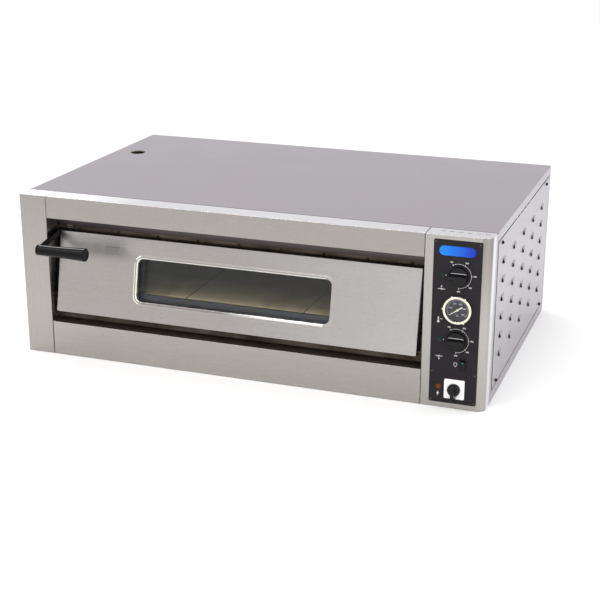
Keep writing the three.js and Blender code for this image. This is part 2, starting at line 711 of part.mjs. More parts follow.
// ---------------------------------------------------------------- controls
function controlPanel() {
  const { left, right, bottom, top, radius } = PANEL;
  const plate = prismY(roundedRect(left, right, bottom, top, radius), PANEL_FRONT, -GAP, 3);
  const small = 5;
  const large = 29;
  const slot = { x: LIGHT_SWITCH.x, z: LIGHT_SWITCH.z, halfWidth: 7, halfHeight: 12.5 };
  const hole = (x, z, r, sides) => bar('y', PANEL_FRONT - 1, 1, r, sides, [x, 0, z]);
  const spindles = [...THERMOSTAT_HEIGHTS, MAIN_SWITCH_Z].map((z) => hole(CONTROL_X, z, small, 12));
  const pilots = [...THERMOSTAT_HEIGHTS, MAINS_PILOT_Z].map((z) => hole(PILOT_X, z, small, 12));
  return build([plate], [
    ...spindles,
    ...pilots,
    hole(CONTROL_X, THERMOMETER_Z, large, 24),
    block(slot.x - slot.halfWidth, slot.x + slot.halfWidth, PANEL_FRONT - 1, 1,
      slot.z - slot.halfHeight, slot.z + slot.halfHeight),
  ]);
}

function badgePlate() {
  const { left, right, bottom, top, thickness } = BADGE;
  const radius = (top - bottom) / 2 - 0.01;
  const outer = roundedRect(left, right, bottom, top, radius);
  return prismY(outer, CONTROL_BASE - thickness, CONTROL_BASE, 6);
}

const SPINDLE_RADIUS = 3;
const SPINDLE_END = 10;

// Thermostat knob: a low skirt, a pointer bar across it and the spindle behind.
function thermostatKnob(z) {
  const front = CONTROL_BASE;
  const skirt = [[0, 0], [KNOB_RADIUS, 0], [KNOB_RADIUS, -3], [KNOB_RADIUS - 2, -7], [0, -7]];
  const wing = { halfLength: 21, halfWidth: 5, radius: 4.9, back: 6, front: 21 };
  const wingOutline = roundedRect(CONTROL_X - wing.halfLength, CONTROL_X + wing.halfLength,
    z - wing.halfWidth, z + wing.halfWidth, wing.radius);
  return build([
    turned('y', skirt, 24, [CONTROL_X, front, z]),
    prismY(wingOutline, front - wing.front, front - wing.back, 4),
    bar('y', front - 1, SPINDLE_END, SPINDLE_RADIUS, 12, [CONTROL_X, 0, z]),
  ]);
}

// A switch or regulator body behind the panel, with the hole that its spindle turns in.
function controlBody(z, halfWidth, depth) {
  const x = CONTROL_X;
  const body = block(x - halfWidth, x + halfWidth, BODY_FRONT, BODY_FRONT + depth,
    z - halfWidth, z + halfWidth);
  return build([body], [bar('y', 0, SPINDLE_END + 2, SPINDLE_RADIUS + 0.6, 12, [x, 0, z])]);
}

// Thermometer: a cup through the panel with a bezel in front, a dial, a needle and a glass.
const thermometer = { glass: 26.6, lip: 26.0, bezel: 32.5, cup: 28, front: -10 };
const DIAL = { radius: 26.4, front: -4.4, back: -3.4 };
const DIAL_GLASS = { front: -8.5, back: -7.2 };
const NEEDLE = { tip: 22.5, tail: 14, front: -6.2, back: -5.4, hub: 2.4 };

function thermometerCase() {
  const { glass, lip, bezel, cup, front } = thermometer;
  const [innerBack, back] = [18.5, 20];
  const profile = [
    [0, innerBack], [cup - 1, innerBack], [cup - 1, front + 1.2], [lip, front + 1.2], [lip, front],
    [bezel - 1.2, front], [bezel, front + 1.2], [bezel, CONTROL_BASE], [cup, CONTROL_BASE],
    [cup, back], [0, back],
  ];
  return turned('y', profile, 32, [CONTROL_X, 0, THERMOMETER_Z]);
}

function disc(radius, y0, y1, sides = 24) {
  return bar('y', y0, y1, radius, sides, [CONTROL_X, 0, THERMOMETER_Z]);
}

// The needle rests pointing down to the left, at the cold end of the scale.
const needleRest = THREE.MathUtils.degToRad(215);

function thermometerNeedle() {
  const { tip, tail, front, back, hub } = NEEDLE;
  const blade = outline([[-tail, -1.1], [0, -1.3], [tip, -0.3], [tip, 0.3], [0, 1.3], [-tail, 1.1]]);
  const flat = build([
    prismY(blade, front, back),
    bar('y', front - 0.2, back + 0.2, hub, 12, [0, 0, 0]),
  ]);
  const turn = new THREE.Matrix4()
    .makeTranslation(CONTROL_X, 0, THERMOMETER_Z)
    .multiply(new THREE.Matrix4().makeRotationY(-needleRest));
  return solid(geometryOf(flat).applyMatrix4(turn));
}

const switchPlate = { half: 23, corner: 2.5, thickness: 3, hole: 5 };

function mainSwitchPlate() {
  const { half, corner, thickness, hole } = switchPlate;
  const [x, z] = [CONTROL_X, MAIN_SWITCH_Z];
  const square = roundedRect(x - half, x + half, z - half, z + half, corner);
  const plate = prismY(square, CONTROL_BASE - thickness, CONTROL_BASE, 3);
  return build([plate], [bar('y', CONTROL_BASE - thickness - 1, 1, hole, 12, [x, 0, z])]);
}

// Rotary main switch: a round boss and a lever that points down when it is off.
function mainSwitchKnob() {
  const base = CONTROL_BASE - switchPlate.thickness - GAP;
  const [x, z] = [CONTROL_X, MAIN_SWITCH_Z];
  const boss = [[0, 0], [14.5, 0], [14.5, -7], [12.5, -10], [0, -10]];
  const lever = { halfWidth: 5, below: 24, above: 11, corner: 4.5, back: 3, front: 21 };
  const outer = roundedRect(x - lever.halfWidth, x + lever.halfWidth, z - lever.below,
    z + lever.above, lever.corner);
  return build([
    turned('y', boss, 24, [x, base, z]),
    prismY(outer, base - lever.front, base - lever.back, 4),
    bar('y', base - 1, SPINDLE_END, SPINDLE_RADIUS, 12, [x, 0, z]),
  ]);
}

const rocker = { halfWidth: 5.4, halfHeight: 10.4, pivotY: 1.5, tilt: THREE.MathUtils.degToRad(6) };

function lightSwitchFrame() {
  const { x, z } = LIGHT_SWITCH;
  const flange = { halfWidth: 8, halfHeight: 14, corner: 1.5, thickness: 1.5 };
  const can = { halfWidth: 6.6, halfHeight: 12.2, back: 20 };
  const pocket = { halfWidth: rocker.halfWidth + 0.5, halfHeight: rocker.halfHeight + 1.2, back: 9 };
  const face = roundedRect(x - flange.halfWidth, x + flange.halfWidth, z - flange.halfHeight,
    z + flange.halfHeight, flange.corner);
  return build([
    prismY(face, CONTROL_BASE - flange.thickness, CONTROL_BASE, 3),
    block(x - can.halfWidth, x + can.halfWidth, CONTROL_BASE - 1, can.back,
      z - can.halfHeight, z + can.halfHeight),
  ], [
    block(x - pocket.halfWidth, x + pocket.halfWidth, CONTROL_BASE - 3, pocket.back,
      z - pocket.halfHeight, z + pocket.halfHeight),
  ]);
}

// Rocker of the light switch, tilted so that its upper end stands proud when it is off.
function lightRocker() {
  const { halfWidth, halfHeight, pivotY, tilt } = rocker;
  const side = outline([
    [5, -6], [5, 6], [-3, halfHeight], [-7.5, halfHeight],
    [-5.5, 0], [-7.5, -halfHeight], [-3, -halfHeight],
  ]);
  const flat = prismX(side, -halfWidth, halfWidth);
  const place = new THREE.Matrix4()
    .makeTranslation(LIGHT_SWITCH.x, pivotY, LIGHT_SWITCH.z)
    .multiply(new THREE.Matrix4().makeRotationX(tilt));
  return solid(geometryOf(flat).applyMatrix4(place));
}

function pilotLamp(z) {
  const profile = [[0, 0], [6, 0], [6, -1], [4.5, -2.6], [0, -3.2]];
  const stem = { radius: 4.5, back: 22 };
  return build([
    turned('y', profile, 16, [PILOT_X, CONTROL_BASE, z]),
    bar('y', CONTROL_BASE - 1, stem.back, stem.radius, 12, [PILOT_X, 0, z]),
  ]);
}

// ---------------------------------------------------------------- supply
function terminalBlock() {
  const { poles, pitch, front, bottom, top, hole } = TERMINALS;
  const [x0, x1] = [PARTITION_X + SHEET + GAP, PARTITION_X + TERMINALS.reach];
  const holes = [];
  for (let i = 0; i < poles; i += 1) {
    holes.push(bar('z', bottom - 1, top + 1, hole, 8, [x1 - 8, front + 8 + i * pitch, 0]));
  }
  return build([block(x0, x1, front, front + poles * pitch + 2, bottom, top)], holes);
}

function cableGland() {
  const profile = [
    [6, -14], [11, -14], [11, GAP], [16, GAP], [16, 6], [13, 7], [13, 14], [9, 18], [6, 18], [6, -14],
  ];
  return turned('y', profile, 16, [GLAND.x, DEPTH, GLAND.z]);
}

// ---------------------------------------------------------------- assembly
const oven = new THREE.Group();
oven.position.set(-WIDTH / 2, -DEPTH / 2, 0);

const doorGroup = new THREE.Group();
doorGroup.applyMatrix4(leanMatrix);
oven.add(doorGroup);

function place(name, body, look, parent = oven) {
  const mesh = new THREE.Mesh(geometryOf(body), new THREE.MeshStandardMaterial(look));
  mesh.name = name;
  parent.add(mesh);
}

place('base_pan', basePan(), STAINLESS);
place('top_cover', topCover(), TOP_SHEET);
place('rear_panel', rearPanel(), SIDE_SHEET);
place('left_side_panel', sidePanel(0), SIDE_SHEET);
place('right_side_panel', louvredSidePanel(), SIDE_SHEET);
place('front_left_post', frontLeftPost(), STAINLESS);
place('control_column', controlColumn(), STAINLESS);
place('upper_fascia', upperFascia(), STAINLESS);
place('lower_fascia', lowerFascia(), STAINLESS);
place('hinge_channel', hingeChannel(), DARK_SHEET);
place('heat_break_strip', heatBreakStrip(), CHAMBER_SHEET);
place('hinge_bracket_left', hingeBracket(POST_WIDTH, 1), DARK_SHEET);
place('hinge_bracket_right', hingeBracket(COLUMN_LEFT, -1), DARK_SHEET);

place('mouth_frame', mouthFrame(), DARK_SHEET);
place('chamber_floor', chamberFloor(), CHAMBER_SHEET);
place('chamber_ceiling', chamberCeiling(), CHAMBER_SHEET);
place('chamber_left_wall', chamberSideWall(CHAMBER.left - SHEET), CHAMBER_SHEET);
place('chamber_right_wall', chamberRightWall(), CHAMBER_SHEET);
place('chamber_rear_wall', chamberRearWall(), CHAMBER_SHEET);
for (let i = 0; i < STONE_COUNT; i += 1) {
  place(`stone_slab_${i + 1}`, stoneSlab(i), STONEWARE);
}
ELEMENT_CENTRES.forEach((centre, i) => {
  place(`upper_element_${i + 1}`, heatingElement(centre, ELEMENT.upperZ), ELEMENT_STEEL);
  place(`lower_element_${i + 1}`, heatingElement(centre, ELEMENT.lowerZ), ELEMENT_STEEL);
});
place('steam_duct', steamDuct(), DARK_SHEET);
place('insulation_top', insulationTop(), WOOL);
place('insulation_tub', insulationTub(), WOOL);
place('compartment_partition', partition(), GALVANISED);
place('lamp_housing', lampHousing(), CERAMIC);
place('lamp_glass', lampGlass(), CLEAR_GLASS);

place('door_outer_skin', doorOuterSkin(), STAINLESS, doorGroup);
place('door_inner_skin', doorInnerSkin(), CHAMBER_SHEET, doorGroup);
place('door_insulation', doorInsulation(), WOOL, doorGroup);
place('door_window_frame', windowFrame(), WINDOW_STEEL, doorGroup);
place('door_outer_glass', pane(outerGlassFront), CLEAR_GLASS, doorGroup);
place('door_inner_glass', pane(innerGlassFront), CLEAR_GLASS, doorGroup);
place('handle_arm', handleArm(), BLACK_PLASTIC);
place('handle_grip', handleGrip(), BLACK_PLASTIC);

place('control_panel', controlPanel(), BLACK_PANEL);
place('badge_plate', badgePlate(), BLUE_ENAMEL);
['bottom', 'top'].forEach((level, i) => {
  const z = THERMOSTAT_HEIGHTS[i];
  place(`${level}_thermostat_knob`, thermostatKnob(z), BLACK_PLASTIC);
  const { half, depth } = THERMOSTAT_BODY;
  place(`${level}_thermostat_body`, controlBody(z, half, depth), WHITE_PLASTIC);
  place(`${level}_pilot_lamp`, pilotLamp(z), GREEN_LENS);
});
place('thermometer_case', thermometerCase(), CHROME);
place('thermometer_dial', disc(DIAL.radius, DIAL.front, DIAL.back), DIAL_GREY);
place('thermometer_needle', thermometerNeedle(), CREAM);
place('thermometer_glass', disc(thermometer.glass, DIAL_GLASS.front, DIAL_GLASS.back), CLEAR_GLASS);
place('main_switch_plate', mainSwitchPlate(), WHITE_PLASTIC);
place('main_switch_knob', mainSwitchKnob(), BLACK_PLASTIC);
place('main_switch_body', controlBody(MAIN_SWITCH_Z, SWITCH_BODY.half, SWITCH_BODY.depth), BLACK_PLASTIC);
place('mains_pilot_lamp', pilotLamp(MAINS_PILOT_Z), ORANGE_LENS);
place('light_switch_frame', lightSwitchFrame(), BLACK_PLASTIC);
place('light_rocker', lightRocker(), BLACK_PLASTIC);
place('terminal_block', terminalBlock(), CERAMIC);
place('cable_gland', cableGland(), BLACK_PLASTIC);

export default oven;
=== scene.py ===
"""Deck oven: the visual model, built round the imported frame. Sizes are millimetres from the
casing's front left bottom corner (x to the right, y backwards, z up) until a piece is placed;
materials, camera and lights are in metres of the row frame."""

import math
from collections import namedtuple

import bmesh
import bpy
from mathutils import Matrix, Vector


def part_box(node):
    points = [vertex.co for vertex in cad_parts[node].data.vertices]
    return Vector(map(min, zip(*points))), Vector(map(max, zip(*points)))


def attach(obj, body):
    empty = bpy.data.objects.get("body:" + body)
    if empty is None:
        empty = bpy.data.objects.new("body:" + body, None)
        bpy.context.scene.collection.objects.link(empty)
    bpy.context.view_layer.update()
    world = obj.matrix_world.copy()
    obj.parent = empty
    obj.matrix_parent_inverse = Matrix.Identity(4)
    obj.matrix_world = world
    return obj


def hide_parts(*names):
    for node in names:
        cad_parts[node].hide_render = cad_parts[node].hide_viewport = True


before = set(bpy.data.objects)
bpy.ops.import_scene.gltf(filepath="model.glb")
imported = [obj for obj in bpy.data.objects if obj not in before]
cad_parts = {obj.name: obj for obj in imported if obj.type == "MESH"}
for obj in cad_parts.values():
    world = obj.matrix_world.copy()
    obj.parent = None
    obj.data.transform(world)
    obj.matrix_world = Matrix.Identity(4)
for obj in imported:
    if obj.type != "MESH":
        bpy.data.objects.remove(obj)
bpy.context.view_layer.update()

# ---------------------------------------------------------------- driving dimensions
MM = 0.001
SHEET = 1.5                        # thickness of the sheets
BEND = 0.7                         # inner radius of a fold
EDGE = 0.25                        # rounding of a cut edge
GAP = 0.3                          # clearance between two parts
SEAM = 0.9                         # open joint beside a fascia
DOOR_LEAN = math.radians(12.3)
DOOR_SKIN_BACK = 36.2              # how far the door's skin reaches behind its face
DOOR_DEPTH = 38.0
PIN_DEPTH, PIN_HEIGHT = 17.5, 8    # the hinge axis, behind the door's face and over its lower edge
PIN_RADIUS, PIN_HOLE_RADIUS = 4, 4.6
WINDOW_BOTTOM, WINDOW_TOP = 47.5, 149.5
WINDOW_RADIUS = 14
WINDOW_LEDGE = 13                  # how much higher the window starts in the door's liner
GLASS_LAP = 8
RIM_ROLL = 6.5                     # width of the bead that is rolled round the window
COLLAR = 10                        # depth of the collar behind that bead
COLUMN_EDGE_RADIUS = 22
SIDE_INSET, SIDE_FRONT_INSET, LEFT_INSET = 2.8, 6.5, 0.9
SPINDLE_RADIUS, PANEL_HOLE_RADIUS = 3, 5
INK = 0.06                         # thickness of the printing

corner = Vector((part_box("base_pan")[0].x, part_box("lower_fascia")[0].y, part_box("base_pan")[0].z))
TO_ROW = Matrix.Translation(corner) @ Matrix.Scale(MM, 4)
Span = namedtuple("Span", "x0 x1 y0 y1 z0 z1")


def span(node):
    """A CAD node's box, in millimetres from the casing's corner."""
    low, high = ((point - corner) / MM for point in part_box(node))
    return Span(low.x, high.x, low.y, high.y, low.z, high.z)


def middle(node):
    box = span(node)
    return Vector(((box.x0 + box.x1) / 2, (box.y0 + box.y1) / 2, (box.z0 + box.z1) / 2))


# ---------------------------------------------------------------- camera
def make_camera():
    data = bpy.data.cameras.new("camera")
    data.lens = 79.1
    data.clip_end = 50
    camera = bpy.data.objects.new("camera", data)
    right = Vector((0.94152, 0.33695, 0.00133))
    up = Vector((-0.11051, 0.30509, 0.94589))
    turn = Matrix((right, up, right.cross(up))).transposed().to_4x4()
    camera.matrix_world = Matrix.Translation((1.0927, -3.0325, 1.1849)) @ turn
    bpy.context.collection.objects.link(camera)
    bpy.context.scene.camera = camera


make_camera()

# ---------------------------------------------------------------- outlines
AXES = {
    "x": lambda u, v, s: (s, u, v),
    "y": lambda u, v, s: (u, s, v),
    "z": lambda u, v, s: (u, v, s),
}


def around(centre, radius, degrees):
    """The point of a circle at an angle."""
    angle = math.radians(degrees)
    return (centre[0] + radius * math.cos(angle), centre[1] + radius * math.sin(angle))


def arc(centre, radius, start, end, steps):
    """The points of an arc between two angles in degrees, with both its ends."""
    return [around(centre, radius, start + (end - start) * k / steps) for k in range(steps + 1)]


def circle(u, v, radius, steps=48):
    return arc((u, v), radius, 0, 360, steps)[:-1]


def rounded_rect(u0, u1, v0, v1, radius, steps=8):
    centres = [(u1 - radius, v0 + radius), (u1 - radius, v1 - radius),
               (u0 + radius, v1 - radius), (u0 + radius, v0 + radius)]
    points = []
    for quarter, centre in enumerate(centres):
        points += arc(centre, radius, 90 * (quarter - 1), 90 * quarter, steps)
    return points


def stadium(u0, u1, v0, v1, steps=8):
    """A rectangle with round short ends."""
    return rounded_rect(u0, u1, v0, v1, (v1 - v0) / 2 - 0.01, steps)


def filleted(points, radii, steps=5):
    """A line of points with rounded corners; radii has one radius for each point."""
    points = [Vector(p) for p in points]
    nearly_straight = math.radians(88)
    out = []
    for i, point in enumerate(points):
        if radii[i] <= 0 or i in (0, len(points) - 1):
            out.append(tuple(point))
            continue
        before, after = points[i - 1] - point, points[i + 1] - point
        half = before.angle(after) / 2
        if half > nearly_straight:
            out.append(tuple(point))
            continue
        reach = min(radii[i] / math.tan(half), 0.49 * before.length, 0.49 * after.length)
        radius = reach * math.tan(half)
        inwards = (before.normalized() + after.normalized()).normalized()
        centre = point + inwards * radius / math.sin(half)
        start = point + before.normalized() * reach - centre
        end = point + after.normalized() * reach - centre
        sweep = -start.angle_signed(end)
        for k in range(steps + 1):
            turned_start = Matrix.Rotation(sweep * k / steps, 2) @ start
            out.append(tuple(centre + turned_start))
    return out


def folded_strip(path):
    """The closed section of a folded strip: path is its outer side, with the metal on its right."""
    path = [Vector(p) for p in path]
    inner, outer_radii, inner_radii = [], [], []
    for i, point in enumerate(path):
        ahead = (path[i + 1] - point).normalized() if i + 1 < len(path) else None
        behind = (point - path[i - 1]).normalized() if i else None
        first, last = behind or ahead, ahead or behind
        last_side = Vector((last.y, -last.x))
        side = (Vector((first.y, -first.x)) + last_side).normalized()
        inner.append(point + side * (SHEET / max(side.dot(last_side), 0.2)))
        right_turn = first.cross(last) < 0
        outer_radii.append(BEND + SHEET if right_turn else BEND)
        inner_radii.append(BEND if right_turn else BEND + SHEET)
    return filleted(path, outer_radii) + filleted(inner, inner_radii)[::-1]


# ---------------------------------------------------------------- mesh makers; each gives back its mesh
def add_prism(bm, outline, axis, low, high):
    put = AXES[axis]
    rings = [[bm.verts.new(put(u, v, s)) for u, v in outline] for s in (low, high)]
    for i in range(len(outline)):
        j = (i + 1) % len(outline)
        bm.faces.new((rings[0][i], rings[0][j], rings[1][j], rings[1][i]))
    bm.faces.new(rings[0][::-1])
    bm.faces.new(rings[1])
    return bm


def add_block(bm, x0, x1, y0, y1, z0, z1):
    return add_prism(bm, [(x0, y0), (x1, y0), (x1, y1), (x0, y1)], "z", z0, z1)


def add_rings(bm, rings, ends="capped"):
    """Skins rings of points into a tube whose ends are capped, open or joined to each other; a
    ring of one point closes it to a tip."""
    made = [[bm.verts.new(p) for p in ring] for ring in rings]
    following = made[1:] + (made[:1] if ends == "joined" else [])
    for lower, upper in zip(made, following):
        count = max(len(lower), len(upper))
        for i in range(count):
            j = (i + 1) % count
            corners = [lower[i % len(lower)], lower[j % len(lower)],
                       upper[j % len(upper)], upper[i % len(upper)]]
            unique = list(dict.fromkeys(corners))
            if len(unique) > 2:
                bm.faces.new(unique)
    if ends == "capped":
        for ring in (made[0][::-1], made[-1]):
            if len(ring) > 2:
                bm.faces.new(ring)
    return bm


def add_lathe(bm, profile, axis, centre, steps, ends="capped"):
    """Turns a profile of (radius, place along the axis) round an axis through centre."""
    put = AXES[axis]
    rings = []
    for radius, place in profile:
        points = circle(0, 0, radius, steps) if radius > 1e-6 else [(0, 0)]
        rings.append([Vector(centre) + Vector(put(u, v, place)) for u, v in points])
    return add_rings(bm, rings, ends)


def add_tube(bm, path, radius, steps):
    """A round tube along a path of points, capped at both ends."""
    path = [Vector(p) for p in path]
    rings = []
    side = None
    for i, point in enumerate(path):
        ahead = (path[min(i + 1, len(path) - 1)] - path[max(i - 1, 0)]).normalized()
        side = side or ahead.orthogonal()
        side = (side - ahead * side.dot(ahead)).normalized()
        other = ahead.cross(side)
        rings.append([point + side * u + other * v for u, v in circle(0, 0, radius, steps)])
    return add_rings(bm, rings)


# ---------------------------------------------------------------- objects
def placed(name, bm, fit=TO_ROW):
    """A mesh as an object of the scene; fit takes it to the row frame."""
    bm.transform(fit)
    mesh = bpy.data.meshes.new(name)
    bm.to_mesh(mesh)
    bm.free()
    obj = bpy.data.objects.new(name, mesh)
    bpy.context.collection.objects.link(obj)
    return obj


def to_object(name, bm, place=Matrix()):
    """A closed mesh drawn in millimetres, as an object; place is its own frame."""
    bmesh.ops.recalc_face_normals(bm, faces=bm.faces)
    return placed(name, bm, TO_ROW @ place)


def apply_modifiers(obj):
    graph = bpy.context.evaluated_depsgraph_get()
    mesh = bpy.data.meshes.new_from_object(obj.evaluated_get(graph), preserve_all_data_layers=True,
                                           depsgraph=graph)
    obj.modifiers.clear()
    spent = obj.data
    obj.data = mesh
    bpy.data.meshes.remove(spent)


def combine(obj, bm, operation):
    """Takes a closed mesh away from an object (DIFFERENCE) or joins it on (UNION)."""
    tool = to_object("tool", bm)
    boolean = obj.modifiers.new("combine", "BOOLEAN")
    boolean.operation = operation
    boolean.object = tool
    boolean.solver = "EXACT"
    apply_modifiers(obj)
    bpy.data.objects.remove(tool)


def cut(obj, cutter):
    """Takes a closed mesh away, where there is one."""
    if cutter:
        combine(obj, cutter, "DIFFERENCE")


def smooth(obj, angle=50):
    """Smooth shading, except across the edges that are sharper than an angle."""
    for polygon in obj.data.polygons:
        polygon.use_smooth = True
    obj.data.set_sharp_from_angle(angle=math.radians(angle))


def soften(obj, width, segments=2, angle=40):
    """Rounds the sharp edges and lets the flat faces keep their own shading."""
    if width > 0:
        bevel = obj.modifiers.new("soften", "BEVEL")
        bevel.width = width * MM
        bevel.segments = segments
        bevel.limit_method = "ANGLE"
        bevel.angle_limit = math.radians(angle)
        bevel.use_clamp_overlap = True
        bevel.miter_outer = "MITER_ARC"
        apply_modifiers(obj)
    smooth(obj)
    weighted = obj.modifiers.new("weighted", "WEIGHTED_NORMAL")
    weighted.keep_sharp = True
    weighted.weight = 60
    apply_modifiers(obj)


def thicken(obj, thickness=SHEET):
    solidify = obj.modifiers.new("thicken", "SOLIDIFY")
    solidify.solidify_mode = "NON_MANIFOLD"
    solidify.nonmanifold_thickness_mode = "CONSTRAINTS"
    solidify.nonmanifold_boundary_mode = "FLAT"
    solidify.thickness = thickness * MM
    solidify.offset = -1
    apply_modifiers(obj)


def face_towards(bm, outward):
    """Turns an open skin's faces outward, which is a direction given for each face."""
    bmesh.ops.recalc_face_normals(bm, faces=bm.faces)
    if sum(f.calc_area() * f.normal.dot(outward(f)) for f in bm.faces) < 0:
        bmesh.ops.reverse_faces(bm, faces=bm.faces)


def dress(obj, look, stands_for=(), body="casing"):
    """Gives a finished piece its material and the body that it rides on."""
    obj.data.materials.clear()
    obj.data.materials.append(LOOK[look])
    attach(obj, body)
    if stands_for:
        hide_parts(*stands_for)
    return obj


def accent(obj, look, chosen):
    """Gives a second material to the faces that are chosen by their place (mm) and direction."""
    obj.data.materials.append(LOOK[look])
    for polygon in obj.data.polygons:
        if chosen((polygon.center - corner) / MM, polygon.normal):
            polygon.material_index = len(obj.data.materials) - 1


def box_sheet(name, faces, cutter=None):
    """A folded box from its outer faces: rounds the folds, thickens inwards and cuts the holes."""
    bm = bmesh.new()
    known = {}

    def shared_corner(point):
        key = tuple(round(value, 3) for value in point)
        if key not in known:
            known[key] = bm.verts.new(point)
        return known[key]

    for face in faces:
        bm.faces.new([shared_corner(point) for point in face])
    centre = sum((v.co for v in bm.verts), Vector()) / len(bm.verts)
    face_towards(bm, lambda face: face.calc_center_median() - centre)
    fold_angle = math.radians(20)
    folds = [e for e in bm.edges if len(e.link_faces) == 2 and e.calc_face_angle() > fold_angle]
    bmesh.ops.bevel(bm, geom=folds, offset=BEND + SHEET, offset_type="OFFSET", segments=4,
                    profile=0.5, affect="EDGES", clamp_overlap=True, loop_slide=True)
    obj = placed(name, bm)
    thicken(obj)
    cut(obj, cutter)
    soften(obj, EDGE)
    return obj


def piece(name, bm, look, stands_for=(), body="casing", place=Matrix(), cutter=None,
          edge=EDGE, segments=2, angle=40):
    """A closed mesh as a finished piece: cut, softened and dressed."""
    obj = to_object(name, bm, place)
    cut(obj, cutter)
    soften(obj, edge, segments, angle)
    return dress(obj, look, stands_for, body)


def turned(name, profile, centre, look, stands_for=(), body="casing", axis="y", steps=64):
    """A finished piece that is turned round an axis; its profile has its own fillets."""
    bm = add_lathe(bmesh.new(), profile, axis, centre, steps)
    return piece(name, bm, look, stands_for, body, edge=0)


def refined(name, node, look, edge, segments=3, body="casing"):
    """A CAD node's shape as a finished piece, its flat faces joined up and its edges rounded."""
    bm = bmesh.new()
    bm.from_mesh(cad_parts[node].data)
    bmesh.ops.remove_doubles(bm, verts=bm.verts, dist=1e-6)
    bmesh.ops.dissolve_limit(bm, angle_limit=math.radians(0.5), verts=bm.verts, edges=bm.edges)
    obj = placed(name, bm, Matrix())
    soften(obj, edge, segments)
    return dress(obj, look, [node], body)


# ---------------------------------------------------------------- materials
class Nodes:
    """One node material; an input takes a value or another node's output."""

    def __init__(self, name):
        self.material = bpy.data.materials.new(name)
        self.material.use_nodes = True
        self.tree = self.material.node_tree
        self.surface = self.tree.nodes["Principled BSDF"]
        self.position = self.add("TexCoord").outputs["Object"]

    def add(self, kind, inputs=None, **settings):
        node = self.tree.nodes.new("ShaderNode" + kind)
        for key, value in settings.items():
            setattr(node, key, value)
        self.feed(node, inputs or {})
        return node

    def feed(self, node, inputs):
        for key, value in inputs.items():
            if isinstance(value, bpy.types.NodeSocket):
                self.tree.links.new(value, node.inputs[key])
            else:
                node.inputs[key].default_value = value

    def noise(self, scale, detail, roughness, distortion=0.0):
        """Noise; scale is its cells per metre, as one number or as one each for x, y and z."""
        scale = scale if isinstance(scale, (list, tuple)) else [scale] * 3
        spot = self.add("Mapping", {"Vector": self.position, "Scale": scale}).outputs["Vector"]
        made = self.add("TexNoise", {"Vector": spot, "Scale": 1.0, "Detail": detail,
                                     "Roughness": roughness, "Distortion": distortion})
        return made.outputs["Fac"]

    def between(self, factor, low, high, from_low=0.3, from_high=0.7):
        """Maps a factor to a range of values."""
        made = self.add("MapRange", {"Value": factor, "From Min": from_low, "From Max": from_high,
                                     "To Min": low, "To Max": high})
        return made.outputs["Result"]

    def total(self, first, second):
        return self.add("Math", {0: first, 1: second}, operation="ADD").outputs[0]

    def blend(self, factor, first, second):
        made = self.add("Mix", data_type="RGBA")
        self.feed(made, {0: factor, 6: first, 7: second})
        return made.outputs[2]

    def vary(self, factor, colour, low, high, *limits):
        """A colour that goes between two shades of itself."""
        return self.blend(self.between(factor, 0, 1, *limits), shade(colour, low), shade(colour, high))

    def tint(self, tone, other, factor, amount, *limits):
        """Another colour over a tone, by up to an amount where the factor is high."""
        return self.blend(self.between(factor, 0, amount, *limits), tone, other)

    def passing(self, tone, steps):
        """Passes to other colours; a step is an axis, a colour and two places on it (row frame)."""
        for axis, other, low, high in steps:
            place = self.add("SeparateXYZ", {"Vector": self.position}).outputs[axis]
            tone = self.tint(tone, other, place, 1, low, high)
        return tone

    def bump(self, height, strength, distance, under=None):
        inputs = {"Height": height, "Strength": strength, "Distance": distance}
        if under:
            inputs["Normal"] = under
        return self.add("Bump", inputs).outputs["Normal"]

    def finish(self, **inputs):
        self.feed(self.surface, {key.replace("_", " "): value for key, value in inputs.items()})
        return self.material


def rgba(r, g, b):
    """A colour given as it looks on a screen, 0 to 255, in linear light."""
    return tuple((c / 255) ** 2.2 for c in (r, g, b)) + (1.0,)


def shade(colour, amount):
    return tuple(min(c * amount, 1.0) for c in colour[:3]) + (1.0,)


def brushed_steel(name, colour, roughness, grain, streak=0.025, smudge=0.04, passing=()):
    """Brushed stainless sheet; grain is the axis that the brushing runs along."""
    n = Nodes(name)
    along, across = 7, 950
    lines = n.noise([along if axis == grain else across for axis in "xyz"], 4, 0.6)
    bands = n.noise([along / 2 if axis == grain else across / 6 for axis in "xyz"], 3, 0.5)
    clouds = n.noise(7, 4, 0.55, 0.4)
    prints = n.noise(38, 5, 0.6, 0.8)
    tone = n.vary(bands, colour, 1 - streak, 1 + streak)
    tone = n.tint(tone, shade(colour, 1 - smudge), clouds, 0.55, 0.35, 0.75)
    tone = n.passing(tone, passing)
    rough = n.total(n.between(lines, roughness - 0.05, roughness + 0.07),
                    n.between(prints, -0.02, 0.035, 0.45, 0.75))
    normal = n.bump(n.total(lines, n.between(bands, 0, 0.5)), 0.35, 0.00001)
    return n.finish(Base_Color=tone, Metallic=1.0, Roughness=rough, Normal=normal,
                    Anisotropic=0.45, Specular_IOR_Level=0.5)


